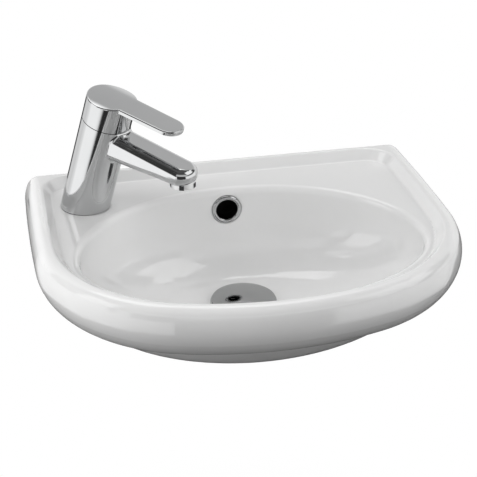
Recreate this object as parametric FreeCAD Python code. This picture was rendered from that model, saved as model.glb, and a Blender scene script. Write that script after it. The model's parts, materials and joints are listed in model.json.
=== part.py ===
import FreeCAD, Part
import math
import os

V = FreeCAD.Vector
UP = V(0, 0, 1)
ORIGIN = V(0, 0, 0)

# Small wall-hung washbasin with a corner-set lever mixer and a push-to-open waste.
# Millimetres. Origin midway between the two wall-fixing holes on the wall face,
# X to the right, +Y into the wall, +Z up.

# Ceramic body: plan and height
BASIN_WIDTH = 400.0
BASIN_DEPTH = 311.0
CORNER_RADIUS = 148.0
SIDE_RADIUS = 2300.0
FRONT_RADIUS = 323.0
RIM_TOP = 58.0

# Ceramic body: rolled rim, as three tangent arcs round the outside
ROLL_TOP_RADIUS = 13.0
ROLL_SIDE_RADIUS = 32.0
ROLL_UNDER_RADIUS = 35.0
ROLL_TOP_TURN = 62.0
ROLL_SIDE_TURN = 112.0
ROLL_BAND = 36.0
ROOF_LAP = 8.0

# Ceramic body: sunken deck behind and beside the bowl
DECK_DROP = 10.0
DECK_THICKNESS = 11.0
RIM_LEDGE = 1.9
WALL_LEDGE = 5.5
DECK_REAR_CORNER = 24.0
STEP_RUN = 8.0
STEP_ROUND = 3.5
STEP_COVE = 3.2
WALL_EDGE_ROUND = 3.0
WALL_CORNER_ROUND = 11.0
WALL_CORNER_EASE = 0.3

# Ceramic body: bowl
BOWL_SIDE_INSET = 39.0
BOWL_REAR_Y = -51.0
BOWL_FRONT_INSET = 35.0
BOWL_WIDEST_Y = -175.0
BOWL_DEPTH = 86.0
BOWL_EDGE_ROUND = 6.5
BOWL_WALL = 12.0
BOWL_SECTIONS = 8
REAR_FULLNESS = 3.4
SIDE_FULLNESS = 2.2
FLOOR_FULLNESS = 1.9
BELLY_SIDE_FULLNESS = 2.5
BELLY_FLOOR_FULLNESS = 2.0

# Ceramic body: wall plate, waste boss and overflow duct
PLATE_THICKNESS = 13.0
PLATE_LAP = 4.0
PLATE_DROP = 36.0
PLATE_CORNER = 34.0
FIXING_SPACING = 200.0
FIXING_HOLE_RADIUS = 7.0
BOSS_RADIUS = 38.0
BOSS_HEIGHT = 27.0
DUCT_WIDTH = 36.0
DUCT_GAP = 20.0
DUCT_WALL = 9.0
CHANNEL_WIDTH = 20.0
CHANNEL_HEIGHT = 12.0

# Overflow ring
OVERFLOW_DROP = 22.0
OVERFLOW_RING_RADIUS = 15.0
OVERFLOW_RING_HEIGHT = 4.0
OVERFLOW_BORE_RADIUS = 10.5
OVERFLOW_SLEEVE_WALL = 1.2
OVERFLOW_SLEEVE_LENGTH = 9.0
OVERFLOW_SEAT_DEPTH = 1.5

# Waste
WASTE_Y = -130.0
WASTE_SEAT_RADIUS = 36.0
WASTE_TUBE_RADIUS = 20.9
WASTE_TUBE_LENGTH = 50.0
WASTE_TUBE_WALL = 2.6
WASTE_FLANGE_RADIUS = 32.5
WASTE_FLANGE_HEIGHT = 2.6
WASTE_SEAT_RECESS = 1.8
WASTE_SLOT_WIDTH = 14.0
WASTE_HUB_RADIUS = 8.0
WASTE_HUB_HEIGHT = 8.0
WASTE_WEB = 3.0
CAP_RADIUS = 31.0
CAP_RIM = 1.4
CAP_CROWN = 3.4
CAP_SPIGOT_RADIUS = 17.0
CAP_SPIGOT_DEPTH = 5.0
CAP_SEAT_LAND = 7.0
PLUNGER_RADIUS = 3.8
BARREL_RADIUS = 7.0
BARREL_LENGTH = 18.0
BARREL_FLOOR = 1.5
BARREL_STUD_RADIUS = 4.0
TOP_SEAL_THICKNESS = 1.5
BOTTOM_SEAL_THICKNESS = 4.0
BOTTOM_SEAL_RADIUS = 30.0
BACKNUT_FLATS = 52.0
BACKNUT_HEIGHT = 7.0

# Mixer tap: stance and body
TAP_SIDE_INSET = 59.0
TAP_Y = -56.6
TAP_HOLE_RADIUS = 17.5
TAP_TURN = -45.0
TAP_LEAN = 17.5
TAP_RADIUS = 23.5
TAP_HEIGHT = 101.0
BASE_SEAL_THICKNESS = 0.8
BASE_SEAL_WIDTH = 5.0
SPIGOT_RADIUS = 16.5
SPIGOT_DEPTH = 4.0
INLET_RADIUS = 4.5
INLET_DEPTH = 14.0
INLET_SPREAD = 16.0
INLET_BACK = 4.0
WATERWAY_RADIUS = 3.2
WATERWAY_LAP = 1.0

# Mixer tap: spout
SPOUT_REACH = 129.0
SPOUT_WIDTH = 31.0
SPOUT_ROOT_DROP = 3.0
SPOUT_TIP_THICKNESS = 16.8
SPOUT_TOP_SLOPE = 12.6
SPOUT_UNDER_SLOPE = 6.0
SPOUT_TIP_LENGTH = 11.0
SPOUT_TOP_ROUND = 8.2
SPOUT_UNDER_ROUND = 8.4
SPOUT_ROOT_ROUND = 5.0
SPOUT_BORE = 5.0
OUTLET_GROOVE_RADIUS = 4.0

# Mixer tap: aerator
AERATOR_RADIUS = 11.8
AERATOR_FROM_TIP = 13.0
AERATOR_OUTSTAND = 2.6
AERATOR_INSIDE = 6.5
AERATOR_WALL = 2.0
AERATOR_LIP = 1.2
AERATOR_MESH_HOLE = 1.1
AERATOR_SEAL_THICKNESS = 1.2

# Mixer tap: fixing under the deck
STUD_RADIUS = 4.0
STUD_FORWARD = 9.0
STUD_GRIP = 14.0
STUD_TAIL = 30.0
HORSESHOE_RADIUS = 19.6
HORSESHOE_SLOT = 26.0
HORSESHOE_GASKET_THICKNESS = 3.0
HORSESHOE_WASHER_THICKNESS = 2.5
FIXING_NUT_FLATS = 13.0
FIXING_NUT_HEIGHT = 14.0

# Mixer tap: cartridge, stacked up the leaning axis
CARTRIDGE_DEPTH = 40.0
CARTRIDGE_RADIUS = 16.8
CARTRIDGE_NECK_RADIUS = 15.0
CARTRIDGE_NECK_HEIGHT = 4.0
INLET_SEAL_THICKNESS = 1.0
INLET_SEAL_RADIUS = 5.6
CARTRIDGE_BASE_HEIGHT = 5.0
FIXED_DISC_RADIUS = 13.6
MOVING_DISC_RADIUS = 10.5
DISC_THICKNESS = 4.0
DISC_FILM = 0.1
CARRIER_RADIUS = 9.5
CARRIER_HEIGHT = 5.0
CHAMBER_RADIUS = 14.3
ROTOR_FLANGE_RADIUS = 13.9
ROTOR_FLANGE_HEIGHT = 2.2
ROTOR_RADIUS = 12.6
ROTOR_TOP_BELOW = 3.5
ROTOR_SLOT_LENGTH = 18.0
PIVOT_BELOW = 14.0
PIVOT_RADIUS = 1.5
BALL_ARM = 9.0
BALL_RADIUS = 2.6
STEM_RADIUS = 1.6
SPINDLE_WIDTH = 7.0
SPINDLE_RISE = 18.0
BORE_WALL = 3.2
NUT_DEPTH = 9.0
NUT_HEIGHT = 7.5
NUT_NOTCH = 4.0
NUT_NOTCHES = 6
SHROUD_HEIGHT = 2.9

# Mixer tap: lever
LEVER_HEIGHT = 26.8
LEVER_PITCH = 5.7
LEVER_PLATE = 4.6
LEVER_REACH = 78.5
LEVER_WIDTH = 30.0
LEVER_TIP_RADIUS = 14.0
LEVER_CROWN_RADIUS = 120.0
LEVER_NOTCH_ROUND = 3.0
LEVER_EDGE = 1.3
LEVER_SKIRT_WALL = 2.8
LEVER_ROOF = 7.0
LEVER_BOSS_RADIUS = 8.5
LEVER_BOSS_DEPTH = 11.5
LEVER_BOSS_BLOCK = 11.0
GRUB_RADIUS = 2.5
GRUB_LENGTH = 8.0
GRUB_BELOW_TOP = 13.0
BUTTON_RADIUS = 4.0
BUTTON_DEPTH = 2.4

# Clearances
FIT = 0.15
RUN = 0.3
PIN_RUN = 0.08
LIFT_CLEARANCE = 0.4
HOLE_CLEARANCE = 0.4
WASTE_HOLE_CLEARANCE = 1.6
MATCH = 0.01

# Places that follow from the sizes above
DECK_Z = RIM_TOP - DECK_DROP
BOWL_HALF_WIDTH = BASIN_WIDTH / 2 - BOWL_SIDE_INSET
BOWL_FRONT_Y = BOWL_FRONT_INSET - BASIN_DEPTH
FLOOR_Z = DECK_Z - BOWL_DEPTH
BOSS_BOTTOM = FLOOR_Z - BOSS_HEIGHT
FLANGE_BOTTOM = FLOOR_Z + TOP_SEAL_THICKNESS
FLANGE_TOP = FLANGE_BOTTOM + WASTE_FLANGE_HEIGHT
CHANNEL_Z = FLOOR_Z - BOWL_WALL
TAP_BASE = V(TAP_SIDE_INSET - BASIN_WIDTH / 2, TAP_Y, DECK_Z)
SPOUT_TIP_TOP = TAP_HEIGHT - SPOUT_ROOT_DROP - SPOUT_REACH * math.tan(math.radians(SPOUT_TOP_SLOPE))
NUT_RADIUS = TAP_RADIUS - BORE_WALL
LEVER_TOP = TAP_HEIGHT + LEVER_HEIGHT
WASTE_AXIS = V(0, WASTE_Y, 0)


def cylinder(radius, bottom, top, at=ORIGIN):
    """Upright cylinder between two heights, about the vertical line through a point."""
    return Part.makeCylinder(radius, top - bottom, V(at.x, at.y, bottom))


def ring(outer, inner, bottom, top, at=ORIGIN):
    """Upright tube between two heights."""
    return cylinder(outer, bottom, top, at).cut(cylinder(inner, bottom, top, at))


def block(x0, x1, y0, y1, z0, z1):
    """Box between two corners."""
    return Part.makeBox(x1 - x0, y1 - y0, z1 - z0, V(x0, y0, z0))


def hexagon(flats, bottom, top, at=ORIGIN):
    """Upright hexagonal prism, measured across its flats."""
    reach = flats / 2 / math.cos(math.pi / 6)
    corners = [V(at.x + reach * math.cos(k * math.pi / 3), at.y + reach * math.sin(k * math.pi / 3), bottom)
               for k in range(7)]
    return Part.Face(Part.makePolygon(corners)).extrude(V(0, 0, top - bottom))


def on_tap(shape):
    """Carry an upright tap piece from its own axis, spout along +X, to its place on the deck."""
    placed = shape.copy()
    placed.rotate(ORIGIN, UP, TAP_TURN)
    placed.translate(TAP_BASE)
    return placed


def leaned(shape):
    """Lean a tap piece, drawn about the vertical axis, forward over the spout."""
    tilted = shape.copy()
    tilted.rotate(ORIGIN, V(0, 1, 0), TAP_LEAN)
    return tilted


def save(name, shape):
    """Write one sub-part, as a bare solid where it is a single one."""
    solids = shape.Solids
    whole = solids[0] if len(solids) == 1 else Part.makeCompound(solids)
    whole.exportStep("parts/" + name + ".step")


# Ceramic body

def front_centre():
    """Plan centre of the shallow front arc."""
    return V(0, FRONT_RADIUS - BASIN_DEPTH, 0)


def corner_centre():
    """Plan centre of the right corner arc, tangent to the side and to the front arc."""
    x = BASIN_WIDTH / 2 - CORNER_RADIUS
    drop = math.sqrt((FRONT_RADIUS - CORNER_RADIUS) ** 2 - x ** 2)
    return V(x, front_centre().y - drop, 0)


def corner_turn():
    """Angle that the corner arc turns through, in degrees."""
    spoke = corner_centre() - front_centre()
    return math.degrees(math.atan2(-spoke.y, spoke.x))


def side_centre():
    """Plan centre of the shallow right side arc, tangent to the corner arc."""
    return V(BASIN_WIDTH / 2 - SIDE_RADIUS, corner_centre().y, 0)


def plan_arc(centre, radius, start, end):
    """Arc in plan about a centre, between two angles in degrees."""
    points = []
    for angle in (start, (start + end) / 2, end):
        turn = math.radians(angle)
        points.append(centre + V(math.cos(turn), math.sin(turn), 0) * radius)
    return Part.Arc(*points).toShape()


def outline(inset, back, rear_corner):
    """Closed D-shaped face: straight back, shallow sides, two corner arcs and the front arc."""
    side = side_centre()
    bow = SIDE_RADIUS - inset
    rear_y = back - rear_corner
    lift = math.degrees(math.asin((rear_y - side.y) / (bow - rear_corner)))
    rear_x = side.x + (bow - rear_corner) * math.cos(math.radians(lift))
    turn = corner_turn()
    edges = [
        plan_arc(V(rear_x, rear_y, 0), rear_corner, 90, lift),
        plan_arc(side, bow, lift, 0),
        plan_arc(corner_centre(), CORNER_RADIUS - inset, 0, -turn),
    ]
    edges += [edge.mirror(ORIGIN, V(1, 0, 0)) for edge in edges]
    edges.append(plan_arc(front_centre(), FRONT_RADIUS - inset, -turn, turn - 180))
    edges.append(Part.LineSegment(V(rear_x, back, 0), V(-rear_x, back, 0)).toShape())
    return Part.Face(Part.Wire(Part.__sortEdges__(edges)))


def crest_inset():
    """How far the crest of the rolled rim lies inside its outline."""
    top_angle = math.radians(ROLL_TOP_TURN)
    return ROLL_TOP_RADIUS * math.sin(top_angle) + ROLL_SIDE_RADIUS * (1 - math.sin(top_angle))


def deck_inset():
    """How far the flat of the deck, at the foot of the step, lies inside the rim's outline."""
    return crest_inset() + RIM_LEDGE + STEP_RUN


def step_spread():
    """How far a rounding of the step's edges reaches, for each millimetre of its radius."""
    return math.tan(math.atan2(DECK_DROP, STEP_RUN) / 2)


def roll_section():
    """Section of the rolled rim on the right side, standing in the wall plane."""
    half = BASIN_WIDTH / 2
    turns = [0, ROLL_TOP_TURN, ROLL_SIDE_TURN, 180]
    radii = [ROLL_TOP_RADIUS, ROLL_SIDE_RADIUS, ROLL_UNDER_RADIUS]
    here = V(half - crest_inset(), 0, RIM_TOP)
    crest = here
    edges = []
    for radius, start, end in zip(radii, turns, turns[1:]):
        centre = here - V(math.sin(math.radians(start)), 0, math.cos(math.radians(start))) * radius
        spokes = [math.radians(angle) for angle in ((start + end) / 2, end)]
        middle, there = [centre + V(math.sin(a), 0, math.cos(a)) * radius for a in spokes]
        edges.append(Part.Arc(here, middle, there).toShape())
        here = there
    inner = half - ROLL_BAND
    corners = [here, V(inner, 0, here.z), V(inner, 0, RIM_TOP), crest]
    edges += [Part.LineSegment(a, b).toShape() for a, b in zip(corners, corners[1:])]
    return Part.Face(Part.Wire(edges))


def rolled_rim():
    """The rim section carried along the side, the corner and half of the front, then mirrored."""
    corner = corner_centre()
    turn = corner_turn()
    section = roll_section()
    section.translate(V(0, corner.y, 0))
    lift = math.degrees(math.asin(-corner.y / (SIDE_RADIUS - 2 * ROLL_BAND)))
    side = section.revolve(side_centre(), UP, lift)
    side = side.cut(block(0, BASIN_WIDTH, 0, BASIN_DEPTH, -RIM_TOP, 2 * RIM_TOP))
    bend = section.revolve(corner, UP, -turn)
    section.rotate(corner, UP, -turn)
    front = section.revolve(front_centre(), UP, turn - 90)
    right = [side, bend, front]
    left = [piece.mirror(ORIGIN, V(1, 0, 0)) for piece in right]
    return right[0].multiFuse(right[1:] + left)


def oval(half_width, rear_y, front_y, widest_y, z):
    """Closed wire of two half ellipses that share their width."""
    halves = []
    for reach in (rear_y - widest_y, front_y - widest_y):
        arc = Part.Arc(V(-1, 0, 0), V(0, 1, 0), V(1, 0, 0)).toShape()
        stretch = FreeCAD.Matrix()
        stretch.scale(half_width, reach, 1)
        stretch.move(V(0, widest_y, z))
        halves.append(arc.transformGeometry(stretch))
    return Part.Wire(halves)


def bowl_form(wall, side_fullness, floor_fullness):
    """Bowl-shaped solid: the hollow itself for no wall, or the outside of the bowl for a wall thickness."""
    depth = BOWL_DEPTH + wall
    seat = WASTE_SEAT_RADIUS + wall
    sections = []
    for step in range(BOWL_SECTIONS + 1):
        fall = math.sin(math.pi / 2 * step / BOWL_SECTIONS)
        rear = (1 - fall ** REAR_FULLNESS) ** (1 / floor_fullness)
        side = (1 - fall ** side_fullness) ** (1 / floor_fullness)
        sections.append(oval(
            seat + (BOWL_HALF_WIDTH + wall - seat) * side,
            WASTE_Y + seat + (BOWL_REAR_Y + wall - WASTE_Y - seat) * rear,
            WASTE_Y - seat + (BOWL_FRONT_Y - wall - WASTE_Y + seat) * side,
            WASTE_Y + (BOWL_WIDEST_Y - WASTE_Y) * side,
            DECK_Z - depth * fall))
    return Part.makeLoft(sections, True)


def edges_on(shape, wire):
    """Edges of a shape that run along a wire."""
    found = []
    for edge in shape.Edges:
        middle = edge.valueAt((edge.FirstParameter + edge.LastParameter) / 2)
        points = [middle] + [corner.Point for corner in edge.Vertexes]
        if all(wire.distToShape(Part.Vertex(point))[0] < MATCH for point in points):
            found.append(edge)
    return found


def edges_where(shape, test):
    """Edges of a shape whose middle point passes a test."""
    found = []
    for edge in shape.Edges:
        if test(edge.valueAt((edge.FirstParameter + edge.LastParameter) / 2)):
            found.append(edge)
    return found


def wall_corner_waste():
    """What lies outside the rounded plan corners of the rim at the wall."""
    rear_y = -WALL_CORNER_ROUND
    bow = SIDE_RADIUS - WALL_CORNER_ROUND
    lift = math.asin((rear_y - side_centre().y) / bow)
    rear_x = side_centre().x + bow * math.cos(lift) + WALL_CORNER_EASE
    right = block(rear_x, BASIN_WIDTH, rear_y, BASIN_WIDTH, -RIM_TOP, 2 * RIM_TOP)
    right = right.cut(cylinder(WALL_CORNER_ROUND, -RIM_TOP, 2 * RIM_TOP, V(rear_x, rear_y, 0)))
    return [right, right.mirror(ORIGIN, V(1, 0, 0))]


def sunken_top():
    """Rolled rim with its sunken deck, joined by a sloping step with rounded edges."""
    roof = outline(ROLL_BAND - ROOF_LAP, 0, ROOF_LAP)
    roof.translate(V(0, 0, DECK_Z - DECK_THICKNESS))
    roof = roof.extrude(V(0, 0, DECK_DROP + DECK_THICKNESS))
    top = rolled_rim().fuse(roof).removeSplitter()
    mouth = outline(deck_inset() - STEP_RUN, -WALL_LEDGE, DECK_REAR_CORNER + STEP_RUN)
    mouth.translate(V(0, 0, RIM_TOP))
    sunk = outline(deck_inset(), -WALL_LEDGE - STEP_RUN, DECK_REAR_CORNER)
    sunk.translate(V(0, 0, DECK_Z))
    hollow = Part.makeLoft([sunk.OuterWire, mouth.OuterWire], True, True)
    hollow = hollow.makeFillet(STEP_COVE, edges_on(hollow, sunk.OuterWire))
    top = top.cut(hollow)
    rounding = min(STEP_ROUND, (RIM_LEDGE - FIT) / step_spread())
    top = top.makeFillet(rounding, edges_on(top, mouth.OuterWire))
    at_wall = edges_where(top, lambda at: abs(at.y) < MATCH and at.z > RIM_TOP - MATCH)
    top = top.makeFillet(min(WALL_EDGE_ROUND, WALL_LEDGE - rounding * step_spread() - FIT), at_wall)
    return top.cut(wall_corner_waste())


def wall_plate():
    """Upright plate against the wall, with rounded lower corners and the two fixing holes."""
    half = BASIN_WIDTH / 2 - ROLL_BAND + PLATE_LAP
    plate = block(-half, half, -PLATE_THICKNESS, 0, -PLATE_DROP, DECK_Z)
    low = edges_where(plate, lambda at: abs(at.y + PLATE_THICKNESS / 2) < MATCH and at.z < 0)
    return plate.makeFillet(PLATE_CORNER, low)


def fixing_holes():
    """Bores for the two wall bolts, through the wall plate."""
    bores = []
    for side in (-1, 1):
        mouth = V(side * FIXING_SPACING / 2, -PLATE_THICKNESS, 0)
        bores.append(Part.makeCylinder(FIXING_HOLE_RADIUS, PLATE_THICKNESS, mouth, V(0, 1, 0)))
    return bores


def overflow_seat_y():
    """Depth of the flat seat that the overflow ring stands on, in the rear wall of the bowl."""
    fall = OVERFLOW_DROP / BOWL_DEPTH
    rear = (1 - fall ** REAR_FULLNESS) ** (1 / FLOOR_FULLNESS)
    seat = WASTE_Y + WASTE_SEAT_RADIUS
    return seat + (BOWL_REAR_Y - seat) * rear + OVERFLOW_SEAT_DEPTH


def along_wall_axis(radius, front_y, back_y):
    """Cylinder about the overflow's axis, which points into the wall."""
    return Part.makeCylinder(radius, back_y - front_y, V(0, front_y, DECK_Z - OVERFLOW_DROP), V(0, 1, 0))


def duct_back():
    """Wall-side face of the overflow duct."""
    return overflow_seat_y() + DUCT_WALL + DUCT_GAP


def overflow_passage():
    """Hollows that lead overflow water from the ring down to the slots of the waste."""
    seat = overflow_seat_y()
    duct_front = seat + DUCT_WALL
    half = DUCT_WIDTH / 2
    channel = CHANNEL_WIDTH / 2
    low = CHANNEL_Z - CHANNEL_HEIGHT
    hole = OVERFLOW_BORE_RADIUS + OVERFLOW_SLEEVE_WALL + HOLE_CLEARANCE
    return [
        along_wall_axis(OVERFLOW_RING_RADIUS + HOLE_CLEARANCE, WASTE_Y, seat),
        along_wall_axis(hole, seat, duct_front + DUCT_GAP / 2),
        block(-half, half, duct_front, duct_back(), low, DECK_Z - DECK_THICKNESS),
        block(-channel, channel, WASTE_Y, duct_back(), low, CHANNEL_Z),
    ]


def basin_body():
    """One-piece ceramic body."""
    half = DUCT_WIDTH / 2 + DUCT_WALL
    rib = CHANNEL_WIDTH / 2 + DUCT_WALL
    added = [
        bowl_form(BOWL_WALL, BELLY_SIDE_FULLNESS, BELLY_FLOOR_FULLNESS),
        wall_plate(),
        block(-half, half, BOWL_REAR_Y, 0, BOSS_BOTTOM, DECK_Z - DECK_THICKNESS / 2),
        block(-rib, rib, WASTE_Y, 0, BOSS_BOTTOM, FLOOR_Z),
        cylinder(BOSS_RADIUS, BOSS_BOTTOM, FLOOR_Z, WASTE_AXIS),
    ]
    body = sunken_top().multiFuse(added).removeSplitter()
    body = body.cut(bowl_form(0, SIDE_FULLNESS, FLOOR_FULLNESS))
    mouth = oval(BOWL_HALF_WIDTH, BOWL_REAR_Y, BOWL_FRONT_Y, BOWL_WIDEST_Y, DECK_Z)
    room = BOWL_FRONT_INSET - deck_inset() - STEP_COVE * step_spread() - FIT
    body = body.makeFillet(min(BOWL_EDGE_ROUND, room), edges_on(body, mouth))
    drilled = fixing_holes() + overflow_passage()
    drilled.append(cylinder(WASTE_TUBE_RADIUS + WASTE_HOLE_CLEARANCE, BOSS_BOTTOM, FLOOR_Z, WASTE_AXIS))
    drilled.append(cylinder(TAP_HOLE_RADIUS, DECK_Z - DECK_THICKNESS, DECK_Z, TAP_BASE))
    return body.cut(drilled)


def overflow_ring():
    """Trim ring of the overflow: rounded flange and a sleeve that enters the ceramic."""
    seat = overflow_seat_y()
    sleeve = OVERFLOW_BORE_RADIUS + OVERFLOW_SLEEVE_WALL
    flange = along_wall_axis(OVERFLOW_RING_RADIUS, seat - OVERFLOW_RING_HEIGHT, seat)
    flange = flange.cut(along_wall_axis(OVERFLOW_BORE_RADIUS, seat - OVERFLOW_RING_HEIGHT, seat))
    lip = (OVERFLOW_RING_RADIUS - OVERFLOW_BORE_RADIUS) / 2 - FIT
    front = [edge for edge in flange.Edges if edge.BoundBox.YMax < seat - OVERFLOW_RING_HEIGHT / 2]
    flange = flange.makeFillet(lip, front)
    tube = along_wall_axis(sleeve, seat, seat + OVERFLOW_SLEEVE_LENGTH)
    tube = tube.cut(along_wall_axis(OVERFLOW_BORE_RADIUS, seat, seat + OVERFLOW_SLEEVE_LENGTH))
    return flange.fuse(tube).removeSplitter()


# Waste

def waste_body():
    """Flanged outlet tube with overflow slots and the web that carries the push mechanism."""
    bore = WASTE_TUBE_RADIUS - WASTE_TUBE_WALL
    bottom = FLANGE_BOTTOM - WASTE_TUBE_LENGTH
    flange = cylinder(WASTE_FLANGE_RADIUS, FLANGE_BOTTOM, FLANGE_TOP, WASTE_AXIS)
    upper = [edge for edge in flange.Edges if edge.BoundBox.ZMin > FLANGE_TOP - MATCH]
    flange = flange.makeFillet(WASTE_FLANGE_HEIGHT / 2, upper)
    tube = flange.fuse(cylinder(WASTE_TUBE_RADIUS, bottom, FLANGE_BOTTOM, WASTE_AXIS))
    hollows = [
        cylinder(bore, bottom, FLANGE_TOP, WASTE_AXIS),
        cylinder(CAP_RADIUS - CAP_SEAT_LAND, FLANGE_TOP - WASTE_SEAT_RECESS, FLANGE_TOP, WASTE_AXIS),
    ]
    half = WASTE_SLOT_WIDTH / 2
    reach = WASTE_TUBE_RADIUS + WASTE_TUBE_WALL
    low = CHANNEL_Z - CHANNEL_HEIGHT
    hollows.append(block(-half, half, WASTE_Y - reach, WASTE_Y + reach, low, CHANNEL_Z))
    hollows.append(block(-reach, reach, WASTE_Y - half, WASTE_Y + half, low, CHANNEL_Z))
    tube = tube.cut(hollows)
    web_top = barrel_bottom()
    web_low = web_top - WASTE_HUB_HEIGHT
    web = cylinder(WASTE_HUB_RADIUS, web_low, web_top, WASTE_AXIS)
    span = bore + WASTE_TUBE_WALL / 2
    for turn in (45, 135):
        arm = block(-span, span, -WASTE_WEB / 2, WASTE_WEB / 2, web_low, web_top)
        arm.rotate(ORIGIN, UP, turn)
        arm.translate(WASTE_AXIS)
        web = web.fuse(arm)
    web = web.cut(cylinder(BARREL_STUD_RADIUS + FIT, web_low, web_top, WASTE_AXIS))
    return tube.fuse(web).removeSplitter()


def cap_bottom():
    """Underside of the waste cap when it is pushed shut."""
    return FLANGE_TOP + RUN


def barrel_top():
    """Top of the push mechanism's barrel, just under the shut cap's spigot."""
    return cap_bottom() - CAP_SPIGOT_DEPTH - RUN


def barrel_bottom():
    """Foot of the barrel, on the hub of the web."""
    return barrel_top() - BARREL_LENGTH


def waste_cap():
    """Domed cap with a spigot below, bored for the plunger."""
    bottom = cap_bottom()
    edge_z = bottom + CAP_RIM
    ball = (CAP_RADIUS ** 2 + CAP_CROWN ** 2) / (2 * CAP_CROWN)
    dome = Part.makeSphere(ball, V(0, WASTE_Y, edge_z + CAP_CROWN - ball))
    cap = cylinder(CAP_RADIUS, bottom, edge_z + CAP_CROWN, WASTE_AXIS).common(dome)
    spigot = cylinder(CAP_SPIGOT_RADIUS, bottom - CAP_SPIGOT_DEPTH, bottom, WASTE_AXIS)
    socket = cylinder(PLUNGER_RADIUS, bottom - CAP_SPIGOT_DEPTH, bottom + CAP_RIM, WASTE_AXIS)
    return cap.fuse(spigot).removeSplitter().cut(socket)


def waste_cap_seal():
    """Soft ring round the cap's spigot that closes on the recess in the flange."""
    outer = CAP_RADIUS - CAP_SEAT_LAND - RUN
    bottom = FLANGE_TOP - WASTE_SEAT_RECESS + DISC_FILM
    return ring(outer, CAP_SPIGOT_RADIUS, bottom, cap_bottom(), WASTE_AXIS)


def waste_plunger():
    """Rod of the push mechanism, fixed in the cap and sliding in the barrel."""
    return cylinder(PLUNGER_RADIUS, barrel_bottom() + BARREL_FLOOR + RUN, cap_bottom() + CAP_RIM, WASTE_AXIS)


def waste_mechanism():
    """Barrel of the push mechanism, with the stud that screws into the web."""
    barrel = cylinder(BARREL_RADIUS, barrel_bottom(), barrel_top(), WASTE_AXIS)
    foot = cylinder(BARREL_STUD_RADIUS, barrel_bottom() - WASTE_HUB_HEIGHT, barrel_bottom(), WASTE_AXIS)
    bore = cylinder(PLUNGER_RADIUS + RUN, barrel_bottom() + BARREL_FLOOR, barrel_top(), WASTE_AXIS)
    return barrel.fuse(foot).cut(bore)


def waste_top_seal():
    """Flat seal between the flange and the bowl floor."""
    return ring(WASTE_FLANGE_RADIUS - RUN, WASTE_TUBE_RADIUS + FIT, FLOOR_Z, FLANGE_BOTTOM, WASTE_AXIS)


def waste_bottom_seal():
    """Thick seal under the boss of the ceramic body."""
    top = BOSS_BOTTOM
    return ring(BOTTOM_SEAL_RADIUS, WASTE_TUBE_RADIUS + FIT, top - BOTTOM_SEAL_THICKNESS, top, WASTE_AXIS)


def waste_backnut():
    """Hexagonal nut that draws the waste down."""
    top = BOSS_BOTTOM - BOTTOM_SEAL_THICKNESS
    nut = hexagon(BACKNUT_FLATS, top - BACKNUT_HEIGHT, top, WASTE_AXIS)
    return nut.cut(cylinder(WASTE_TUBE_RADIUS + FIT, top - BACKNUT_HEIGHT, top, WASTE_AXIS))


# Mixer tap

def bore_floor():
    """Floor of the cartridge bore, up the leaning axis."""
    return TAP_HEIGHT - CARTRIDGE_DEPTH


def spout_top(reach):
    """Height of the spout's upper face at a distance from the base centre."""
    return SPOUT_TIP_TOP + (SPOUT_REACH - reach) * math.tan(math.radians(SPOUT_TOP_SLOPE))


def spout_under(reach):
    """Height of the spout's lower face at a distance from the base centre."""
    low = SPOUT_TIP_TOP - SPOUT_TIP_THICKNESS
    return low + (SPOUT_REACH - reach) * math.tan(math.radians(SPOUT_UNDER_SLOPE))


def spout_root():
    """Distance of the leaning axis from the base centre, at the height of the spout."""
    return SPOUT_TIP_TOP * math.tan(math.radians(TAP_LEAN))


def aerator_reach():
    """Distance of the aerator's axis from the base centre."""
    return SPOUT_REACH - AERATOR_FROM_TIP


def aerator_seat():
    """Height of the shoulder inside the spout that the aerator screws up to."""
    return spout_under(aerator_reach()) + AERATOR_INSIDE + AERATOR_SEAL_THICKNESS


def spout_arm():
    """Spout arm: sloped side profile, rounded tip in plan, soft upper edges and a U-shaped underside."""
    half = SPOUT_WIDTH / 2
    shoulder = SPOUT_REACH - SPOUT_TIP_LENGTH
    tip = Part.Arc(V(shoulder, -half, 0), V(SPOUT_REACH, 0, 0), V(shoulder, half, 0)).toShape()
    root = spout_root()
    back = [V(shoulder, half, 0), V(root, half, 0), V(root, -half, 0), V(shoulder, -half, 0)]
    sides = [Part.LineSegment(a, b).toShape() for a, b in zip(back, back[1:])]
    plan = Part.Face(Part.Wire([tip] + sides)).extrude(V(0, 0, TAP_HEIGHT))
    corners = [V(root, -half, spout_under(root)), V(SPOUT_REACH, -half, spout_under(SPOUT_REACH)),
               V(SPOUT_REACH, -half, spout_top(SPOUT_REACH)), V(root, -half, spout_top(root))]
    profile = Part.Face(Part.makePolygon(corners + corners[:1])).extrude(V(0, SPOUT_WIDTH, 0))
    arm = plan.common(profile)
    upper = edges_where(arm, lambda at: at.x > root + MATCH and abs(at.z - spout_top(at.x)) < MATCH)
    rounding = min(SPOUT_TOP_ROUND, SPOUT_TIP_THICKNESS / 2 - FIT)
    arm = arm.makeFillet(rounding, upper)
    lower = edges_where(arm, lambda at: at.x > root + MATCH and abs(at.z - spout_under(at.x)) < MATCH)
    return arm.makeFillet(min(SPOUT_UNDER_ROUND, SPOUT_TIP_THICKNESS - rounding - FIT), lower)


def off_axis(at):
    """Distance of a point from the leaning axis of the tap."""
    lean = math.radians(TAP_LEAN)
    forward = at.x * math.cos(lean) - at.z * math.sin(lean)
    return math.hypot(forward, at.y)


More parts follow.
